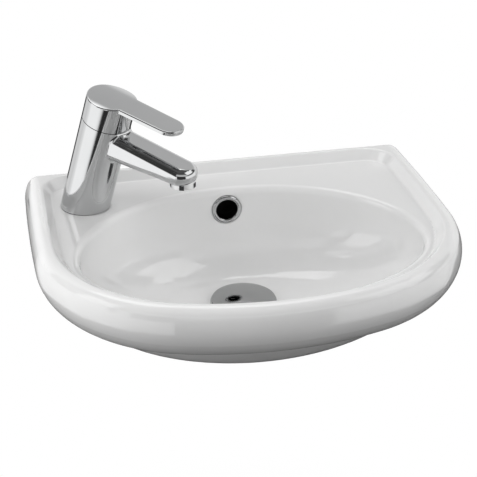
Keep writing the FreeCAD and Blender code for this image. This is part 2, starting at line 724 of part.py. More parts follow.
def tap_casting():
    """Leaning column with the spout blended into it, standing on its base seal."""
    column = leaned(cylinder(TAP_RADIUS, -TAP_RADIUS, TAP_HEIGHT))
    reach = SPOUT_REACH
    column = column.cut(block(-reach, reach, -reach, reach, -reach, BASE_SEAL_THICKNESS))
    body = column.fuse(spout_arm())
    low = spout_under(SPOUT_REACH)
    high = spout_top(spout_root())
    root = edges_where(body, lambda at: abs(off_axis(at) - TAP_RADIUS) < MATCH
                       and low < at.z < high and at.x > 0)
    return body.makeFillet(SPOUT_ROOT_ROUND, root)


def inlet_places():
    """Plan places of the two supply inlets, about the base centre."""
    return [V(-INLET_BACK, side * INLET_SPREAD / 2, 0) for side in (-1, 1)]


def tap_body():
    """Body and spout in one casting, bored for the cartridge, waterways, aerator and fixing."""
    body = tap_casting().fuse(cylinder(SPIGOT_RADIUS, -SPIGOT_DEPTH, TAP_RADIUS / 4))
    bores = [
        leaned(cylinder(CARTRIDGE_RADIUS + FIT, bore_floor(), TAP_HEIGHT)),
        leaned(cylinder(NUT_RADIUS + FIT, TAP_HEIGHT - NUT_DEPTH, TAP_HEIGHT)),
        cylinder(STUD_RADIUS + FIT, -SPIGOT_DEPTH, STUD_GRIP - SPIGOT_DEPTH, V(STUD_FORWARD, 0, 0)),
        cylinder(AERATOR_RADIUS + FIT, 0, aerator_seat(), V(aerator_reach(), 0, 0)),
    ]
    for place in inlet_places():
        bores.append(cylinder(INLET_RADIUS, -SPIGOT_DEPTH, INLET_DEPTH - SPIGOT_DEPTH, place))
        start = INLET_DEPTH - SPIGOT_DEPTH - WATERWAY_LAP
        bores.append(leaned(cylinder(WATERWAY_RADIUS, start, bore_floor(), place)))
    bores.append(leaned(cylinder(OUTLET_GROOVE_RADIUS, bore_floor(), PIVOT, V(CARTRIDGE_RADIUS, 0, 0))))
    root = spout_root() + CARTRIDGE_RADIUS
    start = V(aerator_reach(), 0, aerator_seat())
    run = V(root, 0, (spout_top(root) + spout_under(root)) / 2) - start
    bores.append(Part.makeCylinder(SPOUT_BORE, run.Length, start, run))
    return on_tap(body.cut(bores))


def tap_base_seal():
    """Flat seal between the tap and the deck."""
    return on_tap(ring(TAP_RADIUS - RUN, TAP_RADIUS - BASE_SEAL_WIDTH, 0, BASE_SEAL_THICKNESS))


def aerator_housing():
    """Ring that screws into the spout and stands out below it, with an inward lip at its mouth."""
    seat = spout_under(aerator_reach()) + AERATOR_INSIDE
    bottom = spout_under(aerator_reach()) - AERATOR_OUTSTAND
    at = V(aerator_reach(), 0, 0)
    inner = AERATOR_RADIUS - AERATOR_WALL
    shell = cylinder(AERATOR_RADIUS, bottom, seat, at)
    shell = shell.makeFillet(AERATOR_LIP / 2, edges_where(shell, lambda p: abs(p.z - bottom) < MATCH))
    shell = shell.cut(cylinder(inner, bottom + AERATOR_LIP, seat, at))
    return on_tap(shell.cut(cylinder(inner - AERATOR_LIP, bottom, seat, at)))


def aerator_insert():
    """Flow straightener: a disc with two rings of holes, resting on the lip of its housing."""
    bottom = spout_under(aerator_reach()) - AERATOR_OUTSTAND + AERATOR_LIP
    at = V(aerator_reach(), 0, 0)
    radius = AERATOR_RADIUS - AERATOR_WALL - FIT
    disc = cylinder(radius, bottom, bottom + AERATOR_OUTSTAND, at)
    holes = [cylinder(AERATOR_MESH_HOLE, bottom, bottom + AERATOR_OUTSTAND, at)]
    for count, share in ((6, 0.38), (12, 0.74)):
        for k in range(count):
            turn = 2 * math.pi * k / count
            spot = at + V(math.cos(turn), math.sin(turn), 0) * radius * share
            holes.append(cylinder(AERATOR_MESH_HOLE, bottom, bottom + AERATOR_OUTSTAND, spot))
    return on_tap(disc.cut(holes))


def aerator_seal():
    """Ring between the aerator and the shoulder in the spout."""
    top = aerator_seat()
    at = V(aerator_reach(), 0, 0)
    inner = AERATOR_RADIUS - AERATOR_WALL
    return on_tap(ring(AERATOR_RADIUS, inner, top - AERATOR_SEAL_THICKNESS, top, at))


def horseshoe(top, thickness):
    """Plate with a side slot for the supply tails and a hole for the stud."""
    plate = cylinder(HORSESHOE_RADIUS, top - thickness, top)
    half = HORSESHOE_SLOT / 2
    slot_end = STUD_FORWARD - 2 * STUD_RADIUS
    slot = block(-HORSESHOE_RADIUS, slot_end, -half, half, top - thickness, top)
    hole = cylinder(STUD_RADIUS + FIT, top - thickness, top, V(STUD_FORWARD, 0, 0))
    return on_tap(plate.cut([slot, hole]))


def deck_underside():
    """Height of the underside of the deck, below the base of the tap."""
    return -DECK_THICKNESS


def washer_top():
    """Height of the steel horseshoe, below its gasket."""
    return deck_underside() - HORSESHOE_GASKET_THICKNESS


def nut_top():
    """Height of the fixing nut, below the steel horseshoe."""
    return washer_top() - HORSESHOE_WASHER_THICKNESS


def horseshoe_gasket():
    """Soft plate against the underside of the deck."""
    return horseshoe(deck_underside(), HORSESHOE_GASKET_THICKNESS)


def horseshoe_washer():
    """Steel plate that spreads the pull of the stud."""
    return horseshoe(washer_top(), HORSESHOE_WASHER_THICKNESS)


def fixing_stud():
    """Threaded rod from the tap's base down through the deck."""
    bottom = nut_top() - STUD_TAIL
    return on_tap(cylinder(STUD_RADIUS, bottom, STUD_GRIP - SPIGOT_DEPTH - FIT, V(STUD_FORWARD, 0, 0)))


def fixing_nut():
    """Long nut on the stud."""
    at = V(STUD_FORWARD, 0, 0)
    nut = hexagon(FIXING_NUT_FLATS, nut_top() - FIXING_NUT_HEIGHT, nut_top(), at)
    return on_tap(nut.cut(cylinder(STUD_RADIUS + FIT, nut_top() - FIXING_NUT_HEIGHT, nut_top(), at)))


# Cartridge, drawn upright about its axis and then leaned with the tap

BASE_BOTTOM = TAP_HEIGHT - CARTRIDGE_DEPTH + INLET_SEAL_THICKNESS
BASE_TOP = BASE_BOTTOM + CARTRIDGE_BASE_HEIGHT
FIXED_DISC_TOP = BASE_TOP + DISC_THICKNESS
MOVING_DISC_BOTTOM = FIXED_DISC_TOP + DISC_FILM
MOVING_DISC_TOP = MOVING_DISC_BOTTOM + DISC_THICKNESS
CARRIER_TOP = MOVING_DISC_TOP + CARRIER_HEIGHT
ROTOR_BOTTOM = CARRIER_TOP + RUN
ROTOR_SHOULDER = ROTOR_BOTTOM + ROTOR_FLANGE_HEIGHT
ROTOR_TOP = TAP_HEIGHT - ROTOR_TOP_BELOW
PIVOT = TAP_HEIGHT - PIVOT_BELOW
NUT_SEAT = TAP_HEIGHT - NUT_DEPTH
SHROUD_RADIUS = TAP_RADIUS - LEVER_SKIRT_WALL - LIFT_CLEARANCE


def in_tap(shape):
    """Lean a piece with the tap and carry it to its place."""
    return on_tap(leaned(shape))


def cartridge_inlet_seals():
    """Two rings that seal the supply ports against the floor of the bore."""
    inner = WATERWAY_RADIUS + FIT
    seals = [ring(INLET_SEAL_RADIUS, inner, bore_floor(), BASE_BOTTOM, place) for place in inlet_places()]
    return in_tap(Part.makeCompound(seals))


def ported(disc, bottom, top):
    """Cut the two supply ports and the outlet port through a disc."""
    ports = [cylinder(WATERWAY_RADIUS, bottom, top, place) for place in inlet_places()]
    ports.append(cylinder(WATERWAY_RADIUS, bottom, top, V(INLET_SPREAD / 2, 0, 0)))
    return disc.cut(ports)


def cartridge_base():
    """Lower cover of the cartridge, with its ports."""
    return in_tap(ported(cylinder(CARTRIDGE_RADIUS, BASE_BOTTOM, BASE_TOP), BASE_BOTTOM, BASE_TOP))


def cartridge_fixed_disc():
    """Ceramic disc that stays with the base."""
    return in_tap(ported(cylinder(FIXED_DISC_RADIUS, BASE_TOP, FIXED_DISC_TOP), BASE_TOP, FIXED_DISC_TOP))


def cartridge_moving_disc():
    """Ceramic disc that slides and turns over the fixed one, with its mixing hollow."""
    disc = cylinder(MOVING_DISC_RADIUS, MOVING_DISC_BOTTOM, MOVING_DISC_TOP)
    hollow = cylinder(MOVING_DISC_RADIUS / 2, MOVING_DISC_BOTTOM, MOVING_DISC_BOTTOM + DISC_THICKNESS / 2)
    return in_tap(disc.cut(hollow))


def cartridge_carrier():
    """Slider on the moving disc, with the socket for the ball of the spindle."""
    return in_tap(ring(CARRIER_RADIUS, BALL_RADIUS + LIFT_CLEARANCE, MOVING_DISC_TOP, CARRIER_TOP))


def cartridge_housing():
    """Stepped sleeve round the discs and the rotor."""
    top = NUT_SEAT + CARTRIDGE_NECK_HEIGHT
    sleeve = cylinder(CARTRIDGE_RADIUS, BASE_TOP, NUT_SEAT)
    sleeve = sleeve.fuse(cylinder(CARTRIDGE_NECK_RADIUS, NUT_SEAT, top))
    chamber = cylinder(CHAMBER_RADIUS, BASE_TOP, ROTOR_SHOULDER + RUN)
    neck = cylinder(ROTOR_RADIUS + RUN, BASE_TOP, top)
    return in_tap(sleeve.cut([chamber, neck]))


def cartridge_rotor():
    """Turning head that carries the pivot pin, slotted for the spindle."""
    flange = cylinder(ROTOR_FLANGE_RADIUS, ROTOR_BOTTOM, ROTOR_SHOULDER)
    head = flange.fuse(cylinder(ROTOR_RADIUS, ROTOR_SHOULDER, ROTOR_TOP))
    long = ROTOR_SLOT_LENGTH / 2
    wide = SPINDLE_WIDTH / 2 + RUN
    slot = block(-long, long, -wide, wide, ROTOR_BOTTOM, ROTOR_TOP)
    pin_hole = Part.makeCylinder(PIVOT_RADIUS, 2 * ROTOR_RADIUS, V(0, -ROTOR_RADIUS, PIVOT), V(0, 1, 0))
    return in_tap(head.cut([slot, pin_hole]))


def cartridge_pivot_pin():
    """Pin across the rotor that the spindle tilts on."""
    half = ROTOR_RADIUS - RUN
    return in_tap(Part.makeCylinder(PIVOT_RADIUS, 2 * half, V(0, -half, PIVOT), V(0, 1, 0)))


def cartridge_spindle():
    """Square lever stem with a ball below the pivot."""
    half = SPINDLE_WIDTH / 2
    ball_z = PIVOT - BALL_ARM
    bar = block(-half, half, -half, half, ball_z + SPINDLE_WIDTH / 2, TAP_HEIGHT + SPINDLE_RISE)
    stem = cylinder(STEM_RADIUS, ball_z, ball_z + SPINDLE_WIDTH / 2)
    ball = Part.makeSphere(BALL_RADIUS, V(0, 0, ball_z))
    hole = Part.makeCylinder(PIVOT_RADIUS + PIN_RUN, SPINDLE_WIDTH, V(0, -half, PIVOT), V(0, 1, 0))
    return in_tap(bar.multiFuse([stem, ball]).cut(hole))


def cartridge_nut():
    """Notched ring nut that holds the cartridge down in the body."""
    top = NUT_SEAT + NUT_HEIGHT
    nut = ring(NUT_RADIUS, CARTRIDGE_NECK_RADIUS + FIT, NUT_SEAT, top)
    half = NUT_NOTCH / 2
    notches = []
    for k in range(NUT_NOTCHES):
        notch = block(NUT_RADIUS - half, NUT_RADIUS + half, -half, half, top - NUT_NOTCH, top)
        notch.rotate(ORIGIN, UP, 360 * k / NUT_NOTCHES)
        notches.append(notch)
    return in_tap(nut.cut(notches))


def cartridge_shroud():
    """Domed ring over the nut, part of a ball about the pivot, so that the lever clears it at any lift."""
    bottom = NUT_SEAT + NUT_HEIGHT
    top = bottom + SHROUD_HEIGHT
    dome = cylinder(SHROUD_RADIUS, bottom, top).common(Part.makeSphere(SHROUD_RADIUS, V(0, 0, PIVOT)))
    return in_tap(dome.cut(cylinder(ROTOR_RADIUS + RUN, bottom, top)))


# Lever

def pitched(shape):
    """Pitch a lever piece up at its tip, about the point where the axis meets the top."""
    turned = shape.copy()
    turned.rotate(V(0, 0, LEVER_TOP), V(0, 1, 0), -LEVER_PITCH)
    return turned


def lever_form():
    """Outside of the lever: a cap over the column and a tongue with a rounded tip, crowned across."""
    blank = 2 * (LEVER_TOP - TAP_HEIGHT)
    half = LEVER_WIDTH / 2
    end = LEVER_REACH - LEVER_TIP_RADIUS
    near, far = V(0, -half, TAP_HEIGHT), V(0, half, TAP_HEIGHT)
    near_tip, far_tip = V(end, -LEVER_TIP_RADIUS, TAP_HEIGHT), V(end, LEVER_TIP_RADIUS, TAP_HEIGHT)
    edges = [
        Part.LineSegment(near, near_tip).toShape(),
        Part.Arc(near_tip, V(LEVER_REACH, 0, TAP_HEIGHT), far_tip).toShape(),
        Part.LineSegment(far_tip, far).toShape(),
        Part.LineSegment(far, near).toShape(),
    ]
    blade = Part.Face(Part.Wire(edges)).extrude(V(0, 0, blank))
    cap = cylinder(TAP_RADIUS, TAP_HEIGHT, TAP_HEIGHT + blank)
    form = cap.fuse(blade).removeSplitter()
    notch = edges_where(form, lambda at: abs(math.hypot(at.x, at.y) - TAP_RADIUS) < MATCH and at.x > 0
                        and TAP_HEIGHT + MATCH < at.z < TAP_HEIGHT + blank - MATCH)
    form = form.makeFillet(LEVER_NOTCH_ROUND, notch)
    reach = 2 * LEVER_REACH
    below = pitched(block(-reach, reach, -half, half, 0, LEVER_TOP - LEVER_PLATE))
    form = form.cut(below.cut(cap))
    crown_axis = V(-reach, 0, LEVER_TOP - LEVER_CROWN_RADIUS)
    crown = Part.makeCylinder(LEVER_CROWN_RADIUS, 2 * reach, crown_axis, V(1, 0, 0))
    crown.rotate(crown_axis, V(1, 0, 0), 180)
    form = form.common(pitched(crown))
    upper = [face for face in form.Faces if face.Surface.isDerivedFrom("Part::GeomCylinder")
             and abs(face.Surface.Radius - LEVER_CROWN_RADIUS) < MATCH]
    return form.makeFillet(LEVER_EDGE, upper[0].OuterWire.Edges)


def lever_handle():
    """Cap and blade in one piece: hollow skirt whose lower edge clears the body as the lever lifts."""
    inner = TAP_RADIUS - LEVER_SKIRT_WALL
    roof = LEVER_TOP - LEVER_ROOF
    sweep = Part.makeSphere(math.hypot(TAP_RADIUS, PIVOT_BELOW) + LIFT_CLEARANCE, V(0, 0, PIVOT))
    low = cylinder(2 * TAP_RADIUS, TAP_HEIGHT, TAP_HEIGHT + TAP_RADIUS / 2)
    handle = lever_form().cut([sweep.common(low), cylinder(inner, TAP_HEIGHT, roof)])
    boss_low = roof - LEVER_BOSS_DEPTH
    half = LEVER_BOSS_BLOCK / 2
    boss = [cylinder(LEVER_BOSS_RADIUS, boss_low, roof), block(-inner - FIT, 0, -half, half, boss_low, roof)]
    handle = handle.multiFuse(boss).removeSplitter()
    bar = SPINDLE_WIDTH / 2 + FIT
    grub_z = LEVER_TOP - GRUB_BELOW_TOP
    cuts = [
        block(-bar, bar, -bar, bar, boss_low, TAP_HEIGHT + SPINDLE_RISE + FIT),
        Part.makeCylinder(GRUB_RADIUS + FIT, TAP_RADIUS, V(0, 0, grub_z), V(-1, 0, 0)),
        Part.makeCylinder(BUTTON_RADIUS + FIT, TAP_RADIUS, V(button_seat(), 0, grub_z), V(-1, 0, 0)),
    ]
    return in_tap(handle.cut(cuts))


def button_seat():
    """Depth of the recess for the index button, on the rear of the lever's skirt."""
    return BUTTON_DEPTH - math.sqrt(TAP_RADIUS ** 2 - BUTTON_RADIUS ** 2)


def lever_grub_screw():
    """Set screw that clamps the lever on the spindle."""
    grub_z = LEVER_TOP - GRUB_BELOW_TOP
    start = V(-SPINDLE_WIDTH / 2 - FIT, 0, grub_z)
    screw = Part.makeCylinder(GRUB_RADIUS, GRUB_LENGTH, start, V(-1, 0, 0))
    key = hexagon(GRUB_RADIUS, 0, GRUB_LENGTH / 2)
    key.rotate(ORIGIN, V(0, 1, 0), -90)
    key.translate(start - V(GRUB_LENGTH / 2, 0, 0))
    return in_tap(screw.cut(key))


def index_button():
    """Plug that closes the screw hole."""
    grub_z = LEVER_TOP - GRUB_BELOW_TOP
    return in_tap(Part.makeCylinder(BUTTON_RADIUS, BUTTON_DEPTH, V(button_seat(), 0, grub_z), V(-1, 0, 0)))


PIECES = [
    basin_body, overflow_ring,
    waste_body, waste_top_seal, waste_bottom_seal, waste_backnut,
    waste_mechanism, waste_plunger, waste_cap, waste_cap_seal,
    tap_body, tap_base_seal, aerator_housing, aerator_insert, aerator_seal,
    fixing_stud, horseshoe_gasket, horseshoe_washer, fixing_nut,
    cartridge_base, cartridge_inlet_seals, cartridge_fixed_disc, cartridge_moving_disc,
    cartridge_carrier, cartridge_housing, cartridge_rotor, cartridge_pivot_pin,
    cartridge_spindle, cartridge_nut, cartridge_shroud,
    lever_handle, lever_grub_screw, index_button,
]


def main():
    """Build every sub-part and write it under its own name."""
    os.makedirs("parts", exist_ok=True)
    for piece in PIECES:
        save(piece.__name__, piece())


if __name__ == "__main__":
    main()
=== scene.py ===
"""Looks of a small wall-hung washbasin with a corner-set lever mixer.

Metres, +Z up, +Y into the wall, origin midway between the two wall-fixing holes.
"""

import json
import logging
import math
from collections.abc import Mapping, Sequence
from dataclasses import dataclass, field
from enum import Enum
from typing import Any

import bmesh
import bpy
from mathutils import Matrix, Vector

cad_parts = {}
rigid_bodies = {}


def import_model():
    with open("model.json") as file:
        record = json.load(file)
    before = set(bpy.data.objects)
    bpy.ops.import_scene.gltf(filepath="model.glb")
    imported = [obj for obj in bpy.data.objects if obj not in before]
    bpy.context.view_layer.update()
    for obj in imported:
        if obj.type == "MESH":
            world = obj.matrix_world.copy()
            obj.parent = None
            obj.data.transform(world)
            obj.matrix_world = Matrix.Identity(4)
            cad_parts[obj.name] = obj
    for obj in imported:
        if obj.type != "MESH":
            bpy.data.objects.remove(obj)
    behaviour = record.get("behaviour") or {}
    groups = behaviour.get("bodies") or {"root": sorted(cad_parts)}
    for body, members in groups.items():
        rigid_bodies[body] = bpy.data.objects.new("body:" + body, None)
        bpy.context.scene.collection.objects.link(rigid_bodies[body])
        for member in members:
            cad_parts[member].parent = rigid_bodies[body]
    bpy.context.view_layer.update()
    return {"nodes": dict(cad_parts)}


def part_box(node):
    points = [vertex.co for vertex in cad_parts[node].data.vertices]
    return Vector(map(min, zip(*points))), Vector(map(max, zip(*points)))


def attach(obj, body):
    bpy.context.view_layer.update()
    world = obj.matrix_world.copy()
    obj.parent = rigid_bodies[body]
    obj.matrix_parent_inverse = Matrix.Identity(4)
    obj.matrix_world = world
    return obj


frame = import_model()
LOG = logging.getLogger("washbasin")

Point = tuple[float, float, float]
Colour = tuple[float, float, float]
Span = tuple[float, float]
Box = tuple[Vector, Vector]

FIXED_BODY = "basin"
WHITE = (1.0, 1.0, 1.0, 1.0)
HALF_TURN = 180.0
FULL_TURN = 360.0


class Slot(Enum):
    """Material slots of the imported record."""

    GLAZE = "ceramic"
    CHROME = "chrome"
    BRASS = "brass"
    STEEL = "steel"
    SEAL = "seal"
    WHITE_PLASTIC = "white_plastic"
    GREY_PLASTIC = "grey_plastic"
    DISC = "disc_ceramic"
    TRIM = "trim_plastic"


class Bench:
    """Lays nodes into one tree and joins their sockets."""

    # The Mix node has several sockets of one name, so they go by number: both inputs, then the result.
    MIX_VALUES = (2, 3, 0)
    MIX_COLOURS = (6, 7, 2)

    def __init__(self, tree: bpy.types.NodeTree) -> None:
        """Start on an emptied tree."""
        self.tree = tree
        tree.nodes.clear()

    def add(self, kind: str, values: Mapping[str | int, Any] | None = None, **settings: Any) -> bpy.types.Node:
        """Add one node.

        Args:
            kind: Type name of the node.
            values: Input sockets by name or number, each with a value or the socket that feeds it.
            settings: Properties of the node itself.

        Returns:
            The node.
        """
        node = self.tree.nodes.new(kind)
        for name, value in settings.items():
            setattr(node, name, value)
        for key, value in (values or {}).items():
            if isinstance(value, bpy.types.NodeSocket):
                self.tree.links.new(value, node.inputs[key])
            else:
                node.inputs[key].default_value = value
        return node

    def math(self, operation: str, *terms: Any) -> bpy.types.NodeSocket:
        """Add a Math node and give back its result."""
        return self.add("ShaderNodeMath", dict(enumerate(terms)), operation=operation).outputs[0]

    def ramp(self, value: Any, low: float, high: float, start: float = 0.0,
             end: float = 1.0) -> bpy.types.NodeSocket:
        """Ease a value from one range into another.

        Args:
            value: Socket that is read.
            low: Value at which the result starts.
            high: Value at which the result ends.
            start: Result at the low value.
            end: Result at the high value.

        Returns:
            The eased value.
        """
        values = dict(enumerate((value, low, high, start, end)))
        return self.add("ShaderNodeMapRange", values, interpolation_type="SMOOTHSTEP").outputs[0]

    def mix(self, factor: Any, first: Any, second: Any) -> bpy.types.NodeSocket:
        """Mix two colours and give back the result."""
        one, two, result = self.MIX_COLOURS
        return self.add("ShaderNodeMix", {0: factor, one: first, two: second}, data_type="RGBA").outputs[result]

    def blend(self, factor: Any, first: Any, second: Any) -> bpy.types.NodeSocket:
        """Mix two values and give back the result."""
        one, two, result = self.MIX_VALUES
        return self.add("ShaderNodeMix", {0: factor, one: first, two: second}).outputs[result]

    def object_place(self) -> bpy.types.NodeSocket:
        """Place on the object, in metres."""
        return self.add("ShaderNodeTexCoord").outputs["Object"]

    def mirrored(self, path: bpy.types.Node) -> bpy.types.NodeSocket:
        """1 for a ray that comes off a polished or clear surface, by a Light Path node."""
        return self.math("MAXIMUM", path.outputs["Is Glossy Ray"], path.outputs["Is Transmission Ray"])


class Effects:
    """Shader node groups that several finishes share."""

    # Noise values between which a drift goes from its low to its high level.
    DRIFT_SPAN: Span = (0.3, 0.7)
    # Tilt of the wiping marks in radians, and the turn and the stretch of each run of them.
    MARK_TILT: Span = (0.3, 0.2)
    MARK_RUNS: tuple[Span, ...] = ((0.5, 0.05), (2.1, 0.08))
    # Noise values at which a mark begins and is full.
    MARK_SPAN: Span = (0.58, 0.72)
    # Random value past which a cell holds a speck.
    SPECK_FROM = 0.6

    def __init__(self) -> None:
        """Build each group once."""
        self.drift = self.make_drift()
        self.relief = self.make_relief()
        self.scratches = self.make_scratches()
        self.specks = self.make_specks()

    @staticmethod
    def open_group(name: str, inputs: Mapping[str, float],
                   outputs: Sequence[str]) -> tuple[Bench, dict[str, Any], bpy.types.Node]:
        """Start a shader node group.

        Args:
            name: Name of the group.
            inputs: Value inputs with what they start at.
            outputs: Value outputs.

        Returns:
            The bench of the group, its input sockets by name, and its output node.
        """
        tree = bpy.data.node_groups.new(name, "ShaderNodeTree")
        for key, value in inputs.items():
            socket = tree.interface.new_socket(key, in_out="INPUT", socket_type="NodeSocketFloat")
            socket.default_value = value
        for key in outputs:
            tree.interface.new_socket(key, in_out="OUTPUT", socket_type="NodeSocketFloat")
        bench = Bench(tree)
        given = bench.add("NodeGroupInput")
        return bench, {key: given.outputs[key] for key in inputs}, bench.add("NodeGroupOutput")

    def make_drift(self) -> bpy.types.NodeTree:
        """Slow change of a value over the surface, between a low and a high level.

        Returns:
            The group.
        """
        inputs = {"Scale": 30.0, "Low": 0.0, "High": 1.0}
        bench, given, out = self.open_group("slow_drift", inputs, ["Value"])
        noise = bench.add("ShaderNodeTexNoise", {
            "Vector": bench.object_place(), "Scale": given["Scale"], "Detail": 3.0})
        values = dict(enumerate((noise.outputs[0], *self.DRIFT_SPAN, given["Low"], given["High"])))
        level = bench.add("ShaderNodeMapRange", values)
        bench.tree.links.new(level.outputs[0], out.inputs["Value"])
        return bench.tree

    def make_relief(self) -> bpy.types.NodeTree:
        """Height of a soft ripple with a finer grain on it.

        Returns:
            The group.
        """
        inputs = {"Ripple Scale": 60.0, "Grain Scale": 900.0, "Grain Share": 0.2}
        bench, given, out = self.open_group("ripple_and_grain", inputs, ["Height"])
        place = bench.object_place()
        ripple = bench.add("ShaderNodeTexNoise", {
            "Vector": place, "Scale": given["Ripple Scale"], "Detail": 1.0})
        grain = bench.add("ShaderNodeTexNoise", {
            "Vector": place, "Scale": given["Grain Scale"], "Detail": 2.0})
        share = bench.math("MULTIPLY", grain.outputs[0], given["Grain Share"])
        bench.tree.links.new(bench.math("ADD", ripple.outputs[0], share), out.inputs["Height"])
        return bench.tree

    def make_scratches(self) -> bpy.types.NodeTree:
        """Fine wiping marks in two directions, as a mask.

        Returns:
            The group.
        """
        bench, given, out = self.open_group("wiping_marks", {"Scale": 600.0, "Amount": 0.5}, ["Mask"])
        place = bench.object_place()
        marks = []
        for turn, stretch in self.MARK_RUNS:
            turned = bench.add("ShaderNodeMapping", {
                "Vector": place, "Rotation": (*self.MARK_TILT, turn), "Scale": (1.0, stretch, 1.0)})
            noise = bench.add("ShaderNodeTexNoise", {
                "Vector": turned.outputs[0], "Scale": given["Scale"], "Detail": 2.0})
            marks.append(bench.ramp(noise.outputs[0], *self.MARK_SPAN))
        both = bench.math("MAXIMUM", *marks)
        bench.tree.links.new(bench.math("MULTIPLY", both, given["Amount"]), out.inputs["Mask"])
        return bench.tree

    def make_specks(self) -> bpy.types.NodeTree:
        """Sparse round specks, as a mask.

        Returns:
            The group.
        """
        inputs = {"Scale": 120.0, "Size": 0.06, "Amount": 1.0}
        bench, given, out = self.open_group("sparse_specks", inputs, ["Mask"])
        cells = bench.add("ShaderNodeTexVoronoi", {"Vector": bench.object_place(), "Scale": given["Scale"]})
        near = bench.math("LESS_THAN", cells.outputs["Distance"], given["Size"])
        chosen = bench.math("GREATER_THAN", cells.outputs["Color"], self.SPECK_FROM)
        spot = bench.math("MULTIPLY", near, chosen)
        bench.tree.links.new(bench.math("MULTIPLY", spot, given["Amount"]), out.inputs["Mask"])
        return bench.tree


@dataclass(frozen=True)
class Finish:
    """What every finish has: a name and a colour."""

    name: str
    colour: Colour

    def start(self) -> tuple[bpy.types.Material, Bench, bpy.types.Node]:
        """Start a material.

        Returns:
            The material, the bench of its tree and its Principled shader.
        """
        material = bpy.data.materials.new(self.name)
        material.use_nodes = True
        bench = Bench(material.node_tree)
        shader = bench.add("ShaderNodeBsdfPrincipled", {"Base Color": (*self.colour, 1.0)})
        bench.add("ShaderNodeOutputMaterial", {"Surface": shader.outputs[0]})
        return material, bench, shader

    def tone(self, factor: float) -> tuple[float, float, float, float]:
        """Colour of the finish, lighter or darker by a factor."""
        return (*(min(1.0, part * factor) for part in self.colour), 1.0)

    @staticmethod
    def effect(bench: Bench, tree: bpy.types.NodeTree, values: Mapping[str, float]) -> bpy.types.NodeSocket:
        """Place a shared effect and give back its result."""
        return bench.add("ShaderNodeGroup", values, node_tree=tree).outputs[0]

    def drift(self, bench: Bench, effects: Effects, scale: float, low: float = 0.0,
              high: float = 1.0) -> bpy.types.NodeSocket:
        """Place a slow drift between two levels and give back its result."""
        return self.effect(bench, effects.drift, {"Scale": scale, "Low": low, "High": high})


@dataclass(frozen=True)
class Glaze(Finish):
    """White sanitary glaze, bare and matt where it meets the wall and in the overflow duct, which is painted
    near black as shade.
    """

    roughness: float = 0.05
    gloss_scale: float = 40.0
    gloss_span: Span = (0.8, 1.3)
    clear: float = 1.0
    edge_clear: float = 0.4
    edge_span: Span = (0.6, 0.85)
    shade_scale: float = 14.0
    shades: Span = (0.985, 1.01)
    speck_shade: float = 0.8
    ripple: float = 0.00012
    bare_from: float = -0.0016
    bare_fade: float = 0.001
    bare_colour: Colour = (0.72, 0.69, 0.63)
    bare_dullness: float = 0.7
    duct_low: Point = (-0.0185, -0.0412, -0.063)
    duct_high: Point = (0.0185, -0.0202, 0.0375)
    # Painted shade: near black, standing in for the dark inside the overflow bore.
    duct_painted_shade: Colour = (0.03, 0.03, 0.03)

    def duct_mask(self, bench: Bench, place: bpy.types.Node) -> bpy.types.NodeSocket:
        """Mask of the overflow duct inside the rear wall, left unglazed and painted near black as shade.

        Args:
            bench: Bench of the material.
            place: Separated place on the object.

        Returns:
            1 inside the duct, 0 elsewhere.
        """
        mask: Any = 1.0
        for axis, low, high in zip(place.outputs, self.duct_low, self.duct_high):
            over = bench.math("GREATER_THAN", axis, low)
            within = bench.math("MULTIPLY", over, bench.math("LESS_THAN", axis, high))
            mask = bench.math("MULTIPLY", within, mask)
        return mask

    def material(self, effects: Effects) -> bpy.types.Material:
        """Build the glaze.

        Args:
            effects: Shared node groups.

        Returns:
            The material.
        """
        material, bench, shader = self.start()
        links = bench.tree.links
        place = bench.add("ShaderNodeSeparateXYZ", {0: bench.object_place()})
        bare = bench.ramp(place.outputs["Y"], self.bare_from, self.bare_from + self.bare_fade)
        duct = self.duct_mask(bench, place)
        unglazed = bench.math("MAXIMUM", bare, duct)

        shade = self.drift(bench, effects, self.shade_scale)
        speck = self.effect(bench, effects.specks, {"Scale": 90.0, "Size": 0.035, "Amount": 0.25})
        glazed = bench.mix(shade, *map(self.tone, self.shades))
        spotted = bench.mix(speck, glazed, self.tone(self.speck_shade))
        fired = bench.mix(bare, spotted, (*self.bare_colour, 1.0))
        # Painted shade: the duct goes near black where the bore is dark.
        links.new(bench.mix(duct, fired, (*self.duct_painted_shade, 1.0)), shader.inputs["Base Color"])

        levels = (self.roughness * part for part in self.gloss_span)
        gloss = self.drift(bench, effects, self.gloss_scale, *levels)
        dull = bench.math("MULTIPLY", unglazed, self.bare_dullness)
        links.new(bench.math("ADD", gloss, dull), shader.inputs["Roughness"])

        height = self.effect(bench, effects.relief, {
            "Ripple Scale": 55.0, "Grain Scale": 1400.0, "Grain Share": 0.03})
        bump = bench.add("ShaderNodeBump", {"Height": height, "Strength": 0.4, "Distance": self.ripple})
        links.new(bump.outputs[0], shader.inputs["Normal"])

        sealed = bench.math("SUBTRACT", 1.0, unglazed)
        edge = bench.add("ShaderNodeLayerWeight", {"Blend": 0.5}).outputs["Facing"]
        clear = bench.ramp(edge, *self.edge_span, self.clear, self.edge_clear)
        links.new(bench.math("MULTIPLY", sealed, clear), shader.inputs["Coat Weight"])
        shader.inputs["IOR"].default_value = 1.52
        shader.inputs["Specular IOR Level"].default_value = 0.2
        shader.inputs["Coat IOR"].default_value = 1.56
        shader.inputs["Coat Roughness"].default_value = 0.015
        return material


